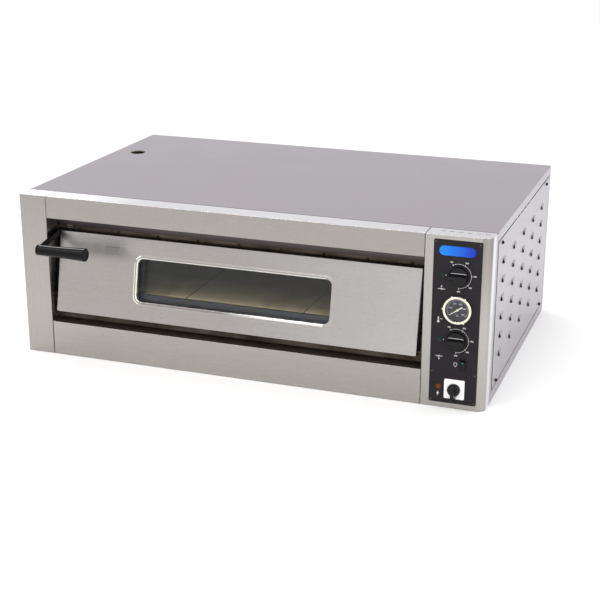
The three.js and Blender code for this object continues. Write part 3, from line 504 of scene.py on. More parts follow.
def rolled_sheet(name, colour, roughness, mottle=0.05, passing=()):
    """Plain rolled sheet, with faint clouds, handling marks and a fine grey mottle."""
    n = Nodes(name)
    clouds = n.noise(5, 4, 0.5, 0.6)
    grain = n.noise(320, 3, 0.6)
    marks = n.noise((60, 9, 60), 4, 0.65, 1.2)
    tone = n.vary(clouds, colour, 1 - mottle, 1 + mottle)
    tone = n.tint(tone, shade(colour, 1.12), marks, 0.4, 0.62, 0.8)
    tone = n.passing(tone, passing)
    tone = n.tint(tone, rgba(120, 116, 120), n.noise((190, 26, 190), 4, 0.7), 0.1)
    rough = n.total(n.between(clouds, roughness - 0.03, roughness + 0.05), n.between(grain, -0.03, 0.03))
    normal = n.bump(grain, 0.25, 0.00003, n.bump(clouds, 0.08, 0.002))
    return n.finish(Base_Color=tone, Metallic=1.0, Roughness=rough, Normal=normal)


def baked_steel(name, colour, stain):
    """Chamber sheet that heat has tinted straw and blue, with baked-on specks."""
    n = Nodes(name)
    clouds = n.noise(9, 5, 0.6, 1.0)
    specks = n.noise(240, 2, 0.5)
    tone = n.tint(colour, stain, clouds, 1, 0.38, 0.68)
    tone = n.tint(tone, shade(stain, 0.35), specks, 0.7, 0.66, 0.78)
    normal = n.bump(specks, 0.3, 0.0001, n.bump(clouds, 0.12, 0.002))
    return n.finish(Base_Color=tone, Metallic=0.85, Roughness=n.between(clouds, 0.42, 0.62), Normal=normal)


def spangled_zinc(name, colour):
    """Galvanised sheet with its crystals."""
    n = Nodes(name)
    spot = n.add("Mapping", {"Vector": n.position, "Scale": (110, 110, 110)}).outputs["Vector"]
    crystals = n.add("TexVoronoi", {"Vector": spot, "Scale": 1.0}).outputs["Color"]
    turn = n.add("SeparateColor", {"Color": crystals}).outputs["Red"]
    return n.finish(Base_Color=n.vary(turn, colour, 0.82, 1.1, 0, 1), Metallic=0.9,
                    Roughness=n.between(turn, 0.38, 0.58, 0, 1), Normal=n.bump(turn, 0.12, 0.0002))


def moulded_plastic(name, colour, roughness, grain=0.00004, edge_lift=1.35, shine=0.25):
    """Moulded plastic: spark-eroded grain, duller where fingers hold it, lighter along its sharp edges."""
    n = Nodes(name)
    grains = n.noise(1400, 2, 0.5)
    hands = n.noise(30, 4, 0.6, 0.7)
    edge = n.add("NewGeometry").outputs["Pointiness"]
    tone = n.vary(hands, colour, 0.9, 1.12)
    tone = n.tint(tone, shade(colour, edge_lift), edge, 0.6, 0.53, 0.62)
    rough = n.total(n.between(hands, roughness - 0.06, roughness + 0.08), n.between(grains, -0.03, 0.03))
    return n.finish(Base_Color=tone, Roughness=rough, Normal=n.bump(grains, 0.3, grain),
                    Specular_IOR_Level=shine)


def painted_panel(name, colour, roughness):
    """Matt printed front plate: fine orange peel, dust and faint wipe marks."""
    n = Nodes(name)
    peel = n.noise(520, 2, 0.4)
    wipes = n.noise((25, 25, 90), 5, 0.6, 1.3)
    dust = n.noise(900, 1, 0.5)
    tone = n.tint(n.vary(wipes, colour, 0.92, 1.12), shade(colour, 3.2), dust, 0.35, 0.74, 0.8)
    rough = n.between(wipes, roughness - 0.06, roughness + 0.1)
    return n.finish(Base_Color=tone, Roughness=rough, Normal=n.bump(peel, 0.2, 0.00006),
                    Specular_IOR_Level=0.14)


def chrome(name, colour, roughness, passing=()):
    n = Nodes(name)
    cloud = n.noise(60, 4, 0.6, 0.5)
    fine = n.noise(700, 2, 0.5)
    tone = n.passing(n.vary(cloud, colour, 0.95, 1.03), passing)
    rough = n.between(cloud, roughness - 0.04, roughness + 0.06)
    return n.finish(Base_Color=tone, Metallic=1.0, Roughness=rough, Normal=n.bump(fine, 0.1, 0.00002))


def firebrick(name, colour, front):
    """Pressed fireclay: pale grit, darker grains and pits; painted shade darkens it behind its front edge,
    where less light reaches inside the chamber.
    """
    n = Nodes(name)
    grit = n.noise(420, 4, 0.7)
    pits = n.noise(150, 3, 0.6, 0.4)
    stains = n.noise(6, 5, 0.62, 1.1)
    depth = n.add("SeparateXYZ", {"Vector": n.position}).outputs["Y"]
    tone = n.vary(grit, colour, 0.78, 1.14)
    tone = n.tint(tone, rgba(150, 118, 78), stains, 0.65, 0.48, 0.8)
    # painted shade: darker with depth behind the front edge
    tone = n.tint(tone, rgba(84, 71, 62), depth, 0.85, front, front + 0.16)
    tone = n.tint(tone, shade(colour, 0.45), pits, 0.6, 0.66, 0.76)
    normal = n.bump(grit, 0.35, 0.0003, n.bump(pits, 0.4, 0.0006))
    return n.finish(Base_Color=tone, Roughness=n.between(grit, 0.86, 0.98), Normal=normal)


def wool(name, colour):
    n = Nodes(name)
    strands = n.noise((60, 420, 420), 5, 0.75, 1.5)
    tufts = n.noise(45, 4, 0.6, 0.8)
    normal = n.bump(strands, 0.6, 0.001, n.bump(tufts, 0.5, 0.006))
    return n.finish(Base_Color=n.vary(strands, colour, 0.7, 1.2), Roughness=0.97, Normal=normal)


def ceramic(name, colour, roughness):
    n = Nodes(name)
    grain = n.noise(600, 3, 0.6)
    stain = n.noise(25, 4, 0.6, 0.7)
    rough = n.between(stain, roughness - 0.08, roughness + 0.1)
    return n.finish(Base_Color=n.vary(stain, colour, 0.9, 1.05), Roughness=rough,
                    Normal=n.bump(grain, 0.2, 0.00008))


def clear_glass(name, tint, ior):
    """Flat pane: lets light straight through, mirrors more at a slant, faint wiped film."""
    n = Nodes(name)
    film = n.noise(14, 4, 0.6, 1.5)
    through = n.add("BsdfTransparent", {"Color": tint})
    mirror = n.add("BsdfGlossy", {"Color": (1, 1, 1, 1), "Roughness": n.between(film, 0.01, 0.09, 0.45, 0.8)})
    share = n.add("Fresnel", {"IOR": ior})
    mixed = n.add("MixShader", {0: share.outputs[0], 1: through.outputs[0], 2: mirror.outputs[0]})
    n.feed(n.tree.nodes["Material Output"], {"Surface": mixed.outputs[0]})
    n.tree.nodes.remove(n.surface)
    return n.material


def coloured_lens(name, colour, glow):
    """Translucent pilot lamp lens with an inner rib pattern."""
    n = Nodes(name)
    ribs = n.add("TexWave", {"Vector": n.position, "Scale": 260.0, "Distortion": 0.4},
                 bands_direction="X").outputs["Fac"]
    cloud = n.noise(200, 2, 0.5)
    return n.finish(Base_Color=n.vary(ribs, colour, 0.75, 1.2, 0.2, 0.8), Specular_IOR_Level=0.2,
                    Roughness=n.between(cloud, 0.12, 0.26), Normal=n.bump(ribs, 0.25, 0.0003),
                    Coat_Weight=0.15, Coat_Roughness=0.08, Emission_Color=colour, Emission_Strength=glow)


def enamel(name, first, second, left, right):
    """Glossy badge whose colour passes from one blue to a deeper one across it."""
    n = Nodes(name)
    tone = n.passing(first, [("X", second, left, right)])
    cloud = n.noise(120, 3, 0.5)
    return n.finish(Base_Color=tone, Roughness=n.between(cloud, 0.16, 0.3), Coat_Weight=0.1,
                    Specular_IOR_Level=0.2, Normal=n.bump(cloud, 0.08, 0.0001))


def light_print(name, colour):
    n = Nodes(name)
    ink = n.noise(1600, 2, 0.5)
    return n.finish(Base_Color=n.vary(ink, colour, 0.85, 1), Roughness=n.between(ink, 0.5, 0.65),
                    Normal=n.bump(ink, 0.1, 0.00002))


# Places in the row frame where a tone passes to another.
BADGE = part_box("badge_plate")
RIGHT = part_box("control_column")[1].x
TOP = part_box("top_cover")[1].z
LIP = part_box("upper_fascia")[0].z
FRONT = corner.y
WINDOW_MIDDLE = (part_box("door_outer_glass")[0].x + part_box("door_outer_glass")[1].x) / 2
LOOK = {
    # painted shade: the fascias' steel turns darker above the upper fascia's lip, so the upper fascia reads
    # darker than the lower one
    "front_x": brushed_steel("stainless_brushed_across", rgba(166, 161, 157), 0.3, "x",
                             passing=[("Z", rgba(154, 149, 146), LIP - 0.05, LIP)]),
    # painted shade: the post's steel turns darker towards the top
    "front_z": brushed_steel("stainless_brushed_upright", rgba(166, 161, 158), 0.3, "z",
                             passing=[("Z", rgba(154, 150, 147), 0.1, TOP)]),
    "column": brushed_steel("stainless_column_brushed", rgba(168, 164, 160), 0.3, "z"),
    # painted light: the door's steel turns lighter right of the window's middle
    "door": brushed_steel("stainless_door_brushed", rgba(166, 161, 158), 0.3, "x",
                          passing=[("X", rgba(182, 179, 177), WINDOW_MIDDLE, RIGHT - 0.17)]),
    # painted highlight and shade on the column's round edge: darker near the top, a near-white highlight
    # stripe at the right, a grey band behind it
    "bend": brushed_steel("stainless_bend_painted_highlight_and_shade", rgba(170, 166, 162), 0.3, "z",
                          passing=[("Z", rgba(142, 138, 134), TOP - 0.2, TOP - 0.03),
                                   ("X", rgba(222, 222, 226), RIGHT - 0.002, RIGHT - 0.0004),
                                   ("Y", rgba(168, 164, 168), FRONT + 0.036, FRONT + 0.046)]),
    # painted highlight: the top strips' near-white reflection, fading to grey towards the right
    "fold": brushed_steel("stainless_fold_painted_highlight", rgba(252, 252, 254), 0.2, "x", 0.01, 0.03,
                          passing=[("X", rgba(210, 209, 213), -0.4, -0.26),
                                   ("X", rgba(198, 197, 201), 0.2, RIGHT)]),
    # painted highlight: near-white lines on the window's rim, and glints on the jamb screws
    "rim": chrome("bright_painted_highlight", rgba(244, 242, 232), 0.14),
    # painted shade and highlight under the window: grey on the left half, near-white from the middle to the
    # right
    "low_rim": chrome("window_rim_painted_shade_and_highlight", rgba(146, 141, 138), 0.2,
                      passing=[("X", rgba(253, 252, 250), WINDOW_MIDDLE - 0.02, WINDOW_MIDDLE + 0.09)]),
    # painted shade: the upper fascia's lip deep in the recess over the door, lighter towards its top
    "shaded": brushed_steel("stainless_lip_painted_shade", rgba(62, 57, 56), 0.4, "x", 0.05, 0.2,
                            passing=[("Z", rgba(98, 93, 92), LIP, LIP + 0.026)]),
    # painted shade: sheet edges darkened where the seams between panels lie in shadow
    "seam": baked_steel("sheet_edge_shaded", rgba(58, 55, 58), rgba(40, 38, 40)),
    # painted shade: a darker halo on the upper slopes of the louvres behind each mouth
    "pressed": rolled_sheet("side_sheet_louvre_painted_shade", rgba(154, 150, 156), 0.42, 0.03),
    # painted highlight: a light line along the grip's top and along the knobs' wings
    "gleam": moulded_plastic("plastic_painted_highlight", rgba(196, 196, 200), 0.25, edge_lift=1.1),
    "top": rolled_sheet("top_sheet_rolled", rgba(154, 146, 154), 0.3),
    # painted light: the side sheets turn lighter towards the top
    "side": rolled_sheet("side_sheet_rolled", rgba(175, 171, 176), 0.38, 0.03,
                         passing=[("Z", rgba(189, 185, 191), 0.03, 0.26)]),
    # heat tint, and painted shade: the mouth frame and hinge brackets sit in the recess, so their sheet is
    # made dark
    "dark": baked_steel("dark_sheet_baked_and_painted_shade", rgba(88, 80, 74), rgba(60, 52, 46)),
    # heat tint, and painted shade: the channel under the door is made dark as it lies in shade
    "channel": baked_steel("channel_sheet_baked_and_painted_shade", rgba(104, 94, 86), rgba(80, 71, 63)),
    "soot": baked_steel("duct_sheet_sooted", rgba(58, 54, 50), rgba(30, 28, 26)),
    "chamber": baked_steel("chamber_sheet_baked", rgba(128, 122, 116), rgba(104, 88, 70)),
    "zinc": spangled_zinc("galvanised_spangled", rgba(176, 178, 180)),
    "stone": firebrick("firebrick_pressed", rgba(246, 226, 182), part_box("stone_slab_1")[0].y),
    "wool": wool("mineral_wool_felted", rgba(196, 186, 148)),
    "element": baked_steel("element_sheath", rgba(96, 90, 86), rgba(70, 58, 52)),
    "ceramic": ceramic("ceramic_glazed", rgba(226, 220, 208), 0.45),
    "glass": clear_glass("pane_glass", (0.98, 0.98, 0.97, 1), 1.24),
    "dial_glass": clear_glass("dial_glass", (0.97, 0.98, 0.98, 1), 1.18),
    "window": rolled_sheet("window_steel_blue", rgba(74, 77, 83), 0.36, 0.08),
    "handle": moulded_plastic("handle_black_moulded", rgba(12, 11, 13), 0.13, 0.000012, shine=0.16),
    "plastic": moulded_plastic("plastic_black_moulded", rgba(16, 16, 18), 0.18, 0.00002),
    "white": moulded_plastic("plastic_white_moulded", rgba(240, 240, 238), 0.42, edge_lift=1.05, shine=0.4),
    "panel": painted_panel("panel_black_printed", rgba(38, 35, 38), 0.5),
    "blue": enamel("badge_blue_enamel", rgba(20, 122, 222), rgba(22, 34, 160), BADGE[0].x, BADGE[1].x),
    "chrome": chrome("bezel_chrome", rgba(222, 218, 204), 0.2),
    "screw": chrome("screw_steel", rgba(190, 180, 160), 0.34),
    "dull_screw": chrome("screw_passivated", rgba(92, 84, 66), 0.42),
    "black_screw": moulded_plastic("screw_blackened", rgba(20, 19, 19), 0.4, shine=0.12),
    "dial": painted_panel("dial_grey_printed", rgba(74, 72, 79), 0.6),
    "needle": light_print("needle_cream_paint", rgba(250, 243, 220)),
    "print": light_print("panel_print_grey", rgba(214, 214, 212)),
    "green": coloured_lens("lens_green", rgba(10, 40, 33), 0.0),
    # painted glow: the printed dot on the rocker glows faintly though no lamp is lit
    "teal": coloured_lens("lens_teal", rgba(40, 140, 120), 0.1),
    "orange": coloured_lens("lens_orange", rgba(104, 44, 8), 0.0),
    "strip": baked_steel("heat_break_sheet", rgba(92, 83, 74), rgba(66, 57, 50)),
    "liner": brushed_steel("door_liner_brushed", rgba(150, 144, 138), 0.36, "x", 0.08, 0.12),
}

# ---------------------------------------------------------------- shared places
post = span("front_left_post")
column = span("control_column")
upper = span("upper_fascia")
lower = span("lower_fascia")
cover = span("top_cover")
pan = span("base_pan")
rear = span("rear_panel")
side = span("left_side_panel")
louvred = span("right_side_panel")
panel = span("control_panel")
skin = span("door_outer_skin")
pane = span("door_outer_glass")
dial = span("thermometer_dial")

DOOR_DROP = DOOR_SKIN_BACK * math.sin(DOOR_LEAN)
DOOR_FRAME = (Matrix.Translation((0, skin.y0, skin.z0 + DOOR_DROP))
              @ Matrix.Rotation(-DOOR_LEAN, 4, "X"))
DOOR_HEIGHT = (skin.z1 - skin.z0 - DOOR_DROP) / math.cos(DOOR_LEAN)
WINDOW_LEFT, WINDOW_RIGHT = pane.x0 + GLASS_LAP, pane.x1 - GLASS_LAP
STRIP_BACK = cover.y0 - 2.4
FULL_HEIGHT = cover.z1
CONTROL_X, THERMOMETER_Z = middle("thermometer_dial").x, middle("thermometer_dial").z
TOP_KNOB_Z, BOTTOM_KNOB_Z = middle("top_thermostat_knob").z, middle("bottom_thermostat_knob").z
SWITCH_Z = middle("main_switch_plate").z
PANEL_FRONT = panel.y0
SEAT = PANEL_FRONT - GAP


# ---------------------------------------------------------------- casing
def flat_face(axis, place, u0, u1, v0, v1):
    """An upright or level rectangle at a place along its axis."""
    return [AXES[axis](u, v, place) for u, v in ((u0, v0), (u1, v0), (u1, v1), (u0, v1))]


def open_backed(front, left_back, right_back, z0, z1):
    """The outer faces of a front piece: front is its plan, its back is open and its top a strip."""
    (x0, y0), (x1, y1) = front[0], front[-1]
    step = z1 - SHEET - GAP

    def flank(x, y, back):
        return [(x, y, z0), (x, back, z0), (x, back, step), (x, STRIP_BACK, step),
                (x, STRIP_BACK, z1), (x, y, z1)]

    top = [(*p, z1) for p in front] + [(x1, STRIP_BACK, z1), (x0, STRIP_BACK, z1)]
    bottom = [(*p, z0) for p in front] + [(x1, right_back, z0), (x0, left_back, z0)]
    strips = [[(*p, z0), (*q, z0), (*q, z1), (*p, z1)] for p, q in zip(front, front[1:])]
    return [flank(x0, y0, left_back), flank(x1, y1, right_back), top, bottom, *strips]


# Top faces that get the top strips' painted highlight.
def on_top(place, normal):
    return normal.z > 0.8 and place.z > FULL_HEIGHT - 0.6


def make_post():
    front = [(post.x0, post.y0), (post.x1, post.y0)]
    obj = box_sheet("post_folded", open_backed(front, post.y1, post.y1 - 2, post.z0, post.z1))
    dress(obj, "front_z", ["front_left_post"])
    accent(obj, "fold", on_top)


def make_column():
    """The control column: a wrapped sheet with a large round right edge and slots in its top."""
    turn = (column.x1 - COLUMN_EDGE_RADIUS, column.y0 + COLUMN_EDGE_RADIUS)
    front = [(column.x0, column.y0), *arc(turn, COLUMN_EDGE_RADIUS, -90, 0, 14)]
    holes = bmesh.new()
    count, length, width, y, pitch = 6, 11, 3, 31.5, 19.5
    first_x = panel.x0 + 12.4
    for i in range(count):
        x = first_x + i * pitch
        slot = stadium(x - length / 2, x + length / 2, y - width / 2, y + width / 2)
        add_prism(holes, slot, "z", column.z1 - 3, column.z1 + 1)
    reveal = 12
    add_block(holes, panel.x0 + reveal, panel.x1 - reveal, -1, SHEET + 1,
              panel.z0 + reveal, panel.z1 - reveal)
    faces = open_backed(front, column.y1 - 2, column.y1, column.z0, column.z1)
    obj = box_sheet("column_wrapped", faces, holes)
    dress(obj, "column", ["control_column"])
    # the round right edge gets the painted highlight stripe and shade
    accent(obj, "bend", lambda place, normal: place.x > turn[0] - 1)
    accent(obj, "fold", on_top)


def make_fascia(name, node, path, left_gap):
    box = span(node)
    bm = add_prism(bmesh.new(), folded_strip(path), "x", box.x0 + left_gap, box.x1 - SEAM / 2)
    return piece(name, bm, "front_x", [node])


def make_fascias():
    opening_top = 345
    back = upper.y1 - SHEET
    path = [(back, upper.z0), (back, opening_top), (0, opening_top), (0, FULL_HEIGHT),
            (STRIP_BACK, FULL_HEIGHT)]
    obj = make_fascia("upper_fascia_folded", "upper_fascia", path, SEAM)
    accent(obj, "fold", on_top)
    # painted shade on the lip over the door
    accent(obj, "shaded", lambda place, normal: place.z < opening_top + SHEET)
    path = [(lower.y1, 0), (0, 0), (0, lower.z1)]
    obj = make_fascia("lower_fascia_folded", "lower_fascia", path, 2 * SEAM)
    # painted highlight along the lower fascia's top edge
    accent(obj, "fold", lambda place, normal: normal.z > 0.3 and place.z > lower.z1 - 1)


def make_top_cover():
    x0, x1, front, back, z0, z1 = cover
    side_front = post.y1 + GAP
    faces = [flat_face("z", z1, x0, x1, front, side_front), flat_face("z", z1, x0, x1, side_front, back),
             flat_face("y", back, x0, x1, z0, z1)]
    faces += [flat_face("x", x, side_front, back, z0, z1) for x in (x0, x1)]
    flue_x, flue_y, flue_radius = span("steam_duct").x0 + 21, middle("steam_duct").y, 20
    hole = add_prism(bmesh.new(), circle(flue_x, flue_y, flue_radius, 64), "z", z1 - 4, z1 + 1)
    obj = box_sheet("top_cover_folded", faces, hole)
    dress(obj, "top", ["top_cover"])
    accent(obj, "side", lambda place, normal: abs(normal.x) > 0.7 or normal.y > 0.7)
    accent(obj, "seam", lambda place, normal: normal.y < -0.6)


def make_base_pan():
    x0, x1, y0, y1, z0, z1 = pan
    faces = [flat_face("z", z0, x0, x1, y0, y1), flat_face("y", y1, x0, x1, z0, z1)]
    faces += [flat_face("x", x, y0, y1, z0, z1) for x in (x0, x1)]
    dress(box_sheet("base_pan_folded", faces), "side", ["base_pan"])


def make_rear_panel():
    x0, x1, y0, y1, z0, z1 = rear
    faces = [flat_face("y", y1, x0, x1, z0, z1)] + [flat_face("x", x, y0, y1, z0, z1) for x in (x0, x1)]
    gland, gland_hole = middle("cable_gland"), 11.6
    holes = add_prism(bmesh.new(), circle(gland.x, gland.z, gland_hole), "y", y1 - 3, y1 + 1)
    count, pitch, left, low, length, width = 8, 12, 1045, 250, 60, 3.5
    for z in (low + i * pitch for i in range(count)):
        add_prism(holes, stadium(left, left + length, z, z + width), "y", y1 - 3, y1 + 1)
    dress(box_sheet("rear_panel_folded", faces, holes), "side", ["rear_panel"])


def make_left_side():
    outline = rounded_rect(side.y0 + LEFT_INSET, side.y1 - LEFT_INSET, side.z0 + LEFT_INSET,
                           side.z1 - LEFT_INSET, 1.5, 3)
    bm = add_prism(bmesh.new(), outline, "x", side.x0, side.x1)
    obj = piece("left_side_plate", bm, "side", ["left_side_panel"], edge=0.3)
    accent(obj, "seam", lambda place, normal: abs(normal.x) < 0.6)


def louvre_height(behind, across, length, half, proud):
    """How far a pressed louvre stands out: a teardrop mouth, fuller below, fading to the rear."""
    if not 0 <= behind < length:
        return 0.0
    fade = 1 - behind / length
    t = across / (half * (0.45 + 0.55 * fade ** 0.5))
    if abs(t) >= 1:
        return 0.0
    upper_power, lower_power = 1.6, 0.5
    peak = (lower_power - upper_power) / (lower_power + upper_power)
    top_value = (1 - peak) ** upper_power * (1 + peak) ** lower_power
    return proud * fade ** 1.4 * (1 - t) ** upper_power * (1 + t) ** lower_power / top_value


def make_louvred_side():
    """The right side panel, with thirty pressed louvres that open to the front."""
    outer = louvred.x0 + SHEET
    proud = louvred.x1 - outer
    length, half = 40, 8.8
    columns, first_y, pitch_y = 5, 127, 122
    rows, first_z, pitch_z = 6, 96.5, 44.2
    starts = [first_y + i * pitch_y for i in range(columns)]
    centres = [first_z + i * pitch_z for i in range(rows)]
    cells_y, cells_z = 12, 16
    ys = [louvred.y0 + SIDE_FRONT_INSET]
    mouths = set()
    for start in starts:
        mouths.add(len(ys))
        ys += [start + length * (i / cells_y) ** 1.3 for i in range(cells_y + 1)]
    ys.append(louvred.y1 - SIDE_INSET)
    zs = [louvred.z0 + SIDE_INSET]
    for centre in centres:
        zs += [centre - half + 2 * half * i / cells_z for i in range(cells_z + 1)]
    zs.append(louvred.z1 - SIDE_INSET)

    def height(y, z):
        return max(louvre_height(y - start, z - centre, length, half, proud)
                   for start in starts for centre in centres)

    bm = bmesh.new()
    flat = [[bm.verts.new((outer, y, z)) for z in zs] for y in ys]
    raised = [[None] * len(zs) for _ in ys]
    for i, y in enumerate(ys):
        for j, z in enumerate(zs):
            rise = height(y, z)
            if i in mouths and rise > 0.01:
                raised[i][j] = bm.verts.new((outer + rise, y, z))
            elif i not in mouths:
                flat[i][j].co.x = outer + rise
    for i in range(len(ys) - 1):
        for j in range(len(zs) - 1):
            near = [raised[i][j + k] or flat[i][j + k] for k in (0, 1)]
            bm.faces.new((near[0], flat[i + 1][j], flat[i + 1][j + 1], near[1]))
    face_towards(bm, lambda face: Vector((1, 0, 0)))
    obj = placed("right_side_louvred", bm)
    thicken(obj, 1.2)
    smooth(obj)
    dress(obj, "side", ["right_side_panel"])
    # painted shade on the louvres' upper slopes
    accent(obj, "pressed", lambda place, normal: place.x > outer + 0.2 and normal.z > 0.05)
    accent(obj, "seam", lambda place, normal: abs(normal.x) < 0.1 and place.x < outer)


# ---------------------------------------------------------------- screws
def add_screw(bm, place, direction, radius, height):
    """A pan head with a cross recess; direction is the axis that the head points along."""
    inner, floor, cross_depth = radius * 0.34, height * 0.35, 0.9
    profile = [(0, -0.4), (radius, -0.4), (radius, height * 0.3)]
    for degrees in (0, 18, 36, 54, 66):
        u, v = around((0, 0), 1, degrees)
        profile.append((radius * u, height * (0.35 + 0.65 * v)))
    profile += [(inner, height), (inner * 0.5, floor), (0, floor)]
    head = add_lathe(bmesh.new(), profile, "z", (0, 0, 0), 20)
    for vert in head.verts:
        on_arm = abs(math.cos(2 * math.atan2(vert.co.y, vert.co.x))) ** 10
        distance = math.hypot(vert.co.x, vert.co.y)
        if vert.co.z > height * 0.8 and inner * 0.9 < distance < radius * 0.55:
            vert.co.z -= cross_depth * on_arm
    turn = Vector((0, 0, 1)).rotation_difference(Vector(direction)).to_matrix().to_4x4()
    head.transform(Matrix.Translation(Vector(place)) @ turn)
    spare = bpy.data.meshes.new("spare")
    head.to_mesh(spare)
    head.free()
    bm.from_mesh(spare)
    bpy.data.meshes.remove(spare)


def make_screws(name, places, direction, look, radius, height=1.9, body="casing"):
    """A row of like screws as one piece."""
    bm = bmesh.new()
    for place in places:
        add_screw(bm, place, direction, radius, height)
    obj = to_object(name, bm)
    smooth(obj, 45)
    dress(obj, look, body=body)


def make_casing_screws():
    on_panel = [(1027.3, 384.7), (1124, 384.6), (1027.8, 85.8), (1124.2, 85.1), (1027.2, 18.6), (1125, 17.5)]
    make_screws("panel_screws", [(x, PANEL_FRONT, z) for x, z in on_panel], (0, -1, 0), "dull_screw",
                radius=2.3, height=1.2)
    radius, height = 4, 4.4
    on_side = [(107.5, 364.5), (672, 364.5), (108, 37.2), (668, 39)]
    for name, x, way in (("right_side_screws", louvred.x0 + SHEET, 1),
                         ("left_side_screws", side.x0, -1)):
        places = [(x, y, z) for y, z in on_side]
        make_screws(name, places, (way, 0, 0), "black_screw", radius, height)
    count, margin, row_inset = 5, 20, 8
    pitch = (rear.x1 - rear.x0 - 2 * margin) / (count - 1)
    places = [(rear.x0 + margin + i * pitch, rear.y1, z) for i in range(count)
              for z in (rear.z0 + row_inset, rear.z1 - row_inset)]
    make_screws("rear_screws", places, (0, 1, 0), "black_screw", radius, height)


# ---------------------------------------------------------------- recess round the door
def make_recess():
    channel = span("hinge_channel")
    path = [(channel.y0, channel.z1), (channel.y1, channel.z1), (channel.y1, channel.z0)]
    bm = add_prism(bmesh.new(), folded_strip(path), "x", channel.x0, channel.x1)
    # the channel's dark sheet stands partly for shade under the door
    piece("hinge_channel_folded", bm, "channel", ["hinge_channel"])
    refined("heat_break_strip_pressed", "heat_break_strip", "strip", edge=0.25)
    # the mouth frame's dark sheet stands partly for shade in the recess
    refined("mouth_frame_pressed", "mouth_frame", "dark", edge=0.3)
    make_bracket("hinge_bracket_left", 1)
    make_bracket("hinge_bracket_right", -1)
    make_recess_screws()
    make_clip()


def make_bracket(name, way):
    """A hinge bracket: a plate on the jamb and the door's pin; way is towards the door."""
    box = span(name)
    wall, tip = (box.x0, box.x1) if way == 1 else (box.x1, box.x0)
    plate = wall + way * 3
    low, high = sorted((wall, plate))
    screw_y, screw_zs, screw_hole = 20, (box.z1 - 10, box.z1 - 24), 2.6
    holes = bmesh.new()
    for z in screw_zs:
        add_prism(holes, circle(screw_y, z, screw_hole, 32), "x", low - 1, high + 1)
    outline = rounded_rect(box.y0, box.y1, box.z0, box.z1, 6)
    obj = to_object(name + "_plate", add_prism(bmesh.new(), outline, "x", low, high))
    cut(obj, holes)
    soften(obj, 0.5)
    axis = DOOR_FRAME @ Vector((0, PIN_DEPTH, PIN_HEIGHT))
    chamfer = 0.8
    profile = [(0, wall + way), (PIN_RADIUS, wall + way), (PIN_RADIUS, tip - way * chamfer),
               (PIN_RADIUS - chamfer, tip), (0, tip)]
    combine(obj, add_lathe(bmesh.new(), profile, "x", (0, axis.y, axis.z), 40), "UNION")
    soften(obj, 0)
    # painted shade: the bracket's dark sheet stands partly for shade in the gap beside the door
    dress(obj, "dark", [name])
    places = [(plate, screw_y, z) for z in screw_zs]
    make_screws(name + "_screws", places, (way, 0, 0), "dull_screw", radius=3.6, height=1.8)


def make_recess_screws():
    """Screws along the top of the leaning mouth frame, and one on each jamb."""
    depth, slant, first, pitch, count = DOOR_DEPTH + 3, 193.5, 238, 142.3, 6
    places = [DOOR_FRAME @ Vector((first + i * pitch, depth, slant)) for i in range(count)]
    facing = DOOR_FRAME.to_3x3() @ Vector((0, -1, 0))
    make_screws("mouth_frame_screws", places, facing, "black_screw", radius=3.4)
    # the jamb screws take the painted highlight as a glint
    for name, x, way in (("left_jamb_screw", post.x1, 1), ("right_jamb_screw", column.x0, -1)):
        make_screws(name, [(x, 16, 146)], (way, 0, 0), "rim", radius=3)


def make_clip():
    """A small slotted clip that hangs on the back of the upper fascia's lip."""
    low, back = upper.z0 - 5.5, upper.y1 - SHEET
    clip = add_block(bmesh.new(), 96, 111, back - 1.2, back - 0.2, low, low + 8)
    holes = bmesh.new()
    for x in (97.5, 104.5):
        add_block(holes, x, x + 5, back - 3, back + 1, low + 1.2, low + 5.2)
    piece("lip_clip", clip, "chamber", edge=0.2, cutter=holes)


# ---------------------------------------------------------------- chamber
def make_chamber():
    for part in ("floor", "ceiling", "left_wall", "right_wall", "rear_wall"):
        node = "chamber_" + part
        refined(node + "_sheet", node, "chamber", edge=0.25, segments=2)
    for i in range(1, 4):
        node = f"stone_slab_{i}"
        obj = refined(node + "_chamfered", node, "stone", edge=1.4)
        accent(obj, "soot", lambda place, normal: abs(normal.x) > 0.3)
    for node in ("upper_element_1", "upper_element_2", "lower_element_1", "lower_element_2"):
        make_element(node)
    refined("steam_duct_folded", "steam_duct", "soot", edge=0.3, segments=2)
    refined("partition_sheet", "compartment_partition", "zinc", edge=0.25, segments=2)
    make_chamber_lamp()


def make_element(node):
    """A hairpin heating element: two straight legs joined by a half circle on the left."""
    box = span(node)
    radius = (box.z1 - box.z0) / 2
    bend = (box.y1 - box.y0) / 2 - radius
    y, z = (box.y0 + box.y1) / 2, (box.z0 + box.z1) / 2
    turn = arc((box.x0 + radius + bend, y), bend, -90, -270, 28)
    path = [(u, v, z) for u, v in ((box.x1, y - bend), *turn, (box.x1, y + bend))]
    bm = add_tube(bmesh.new(), path, radius, 20)
    piece(node + "_tube", bm, "element", [node], edge=0.4)


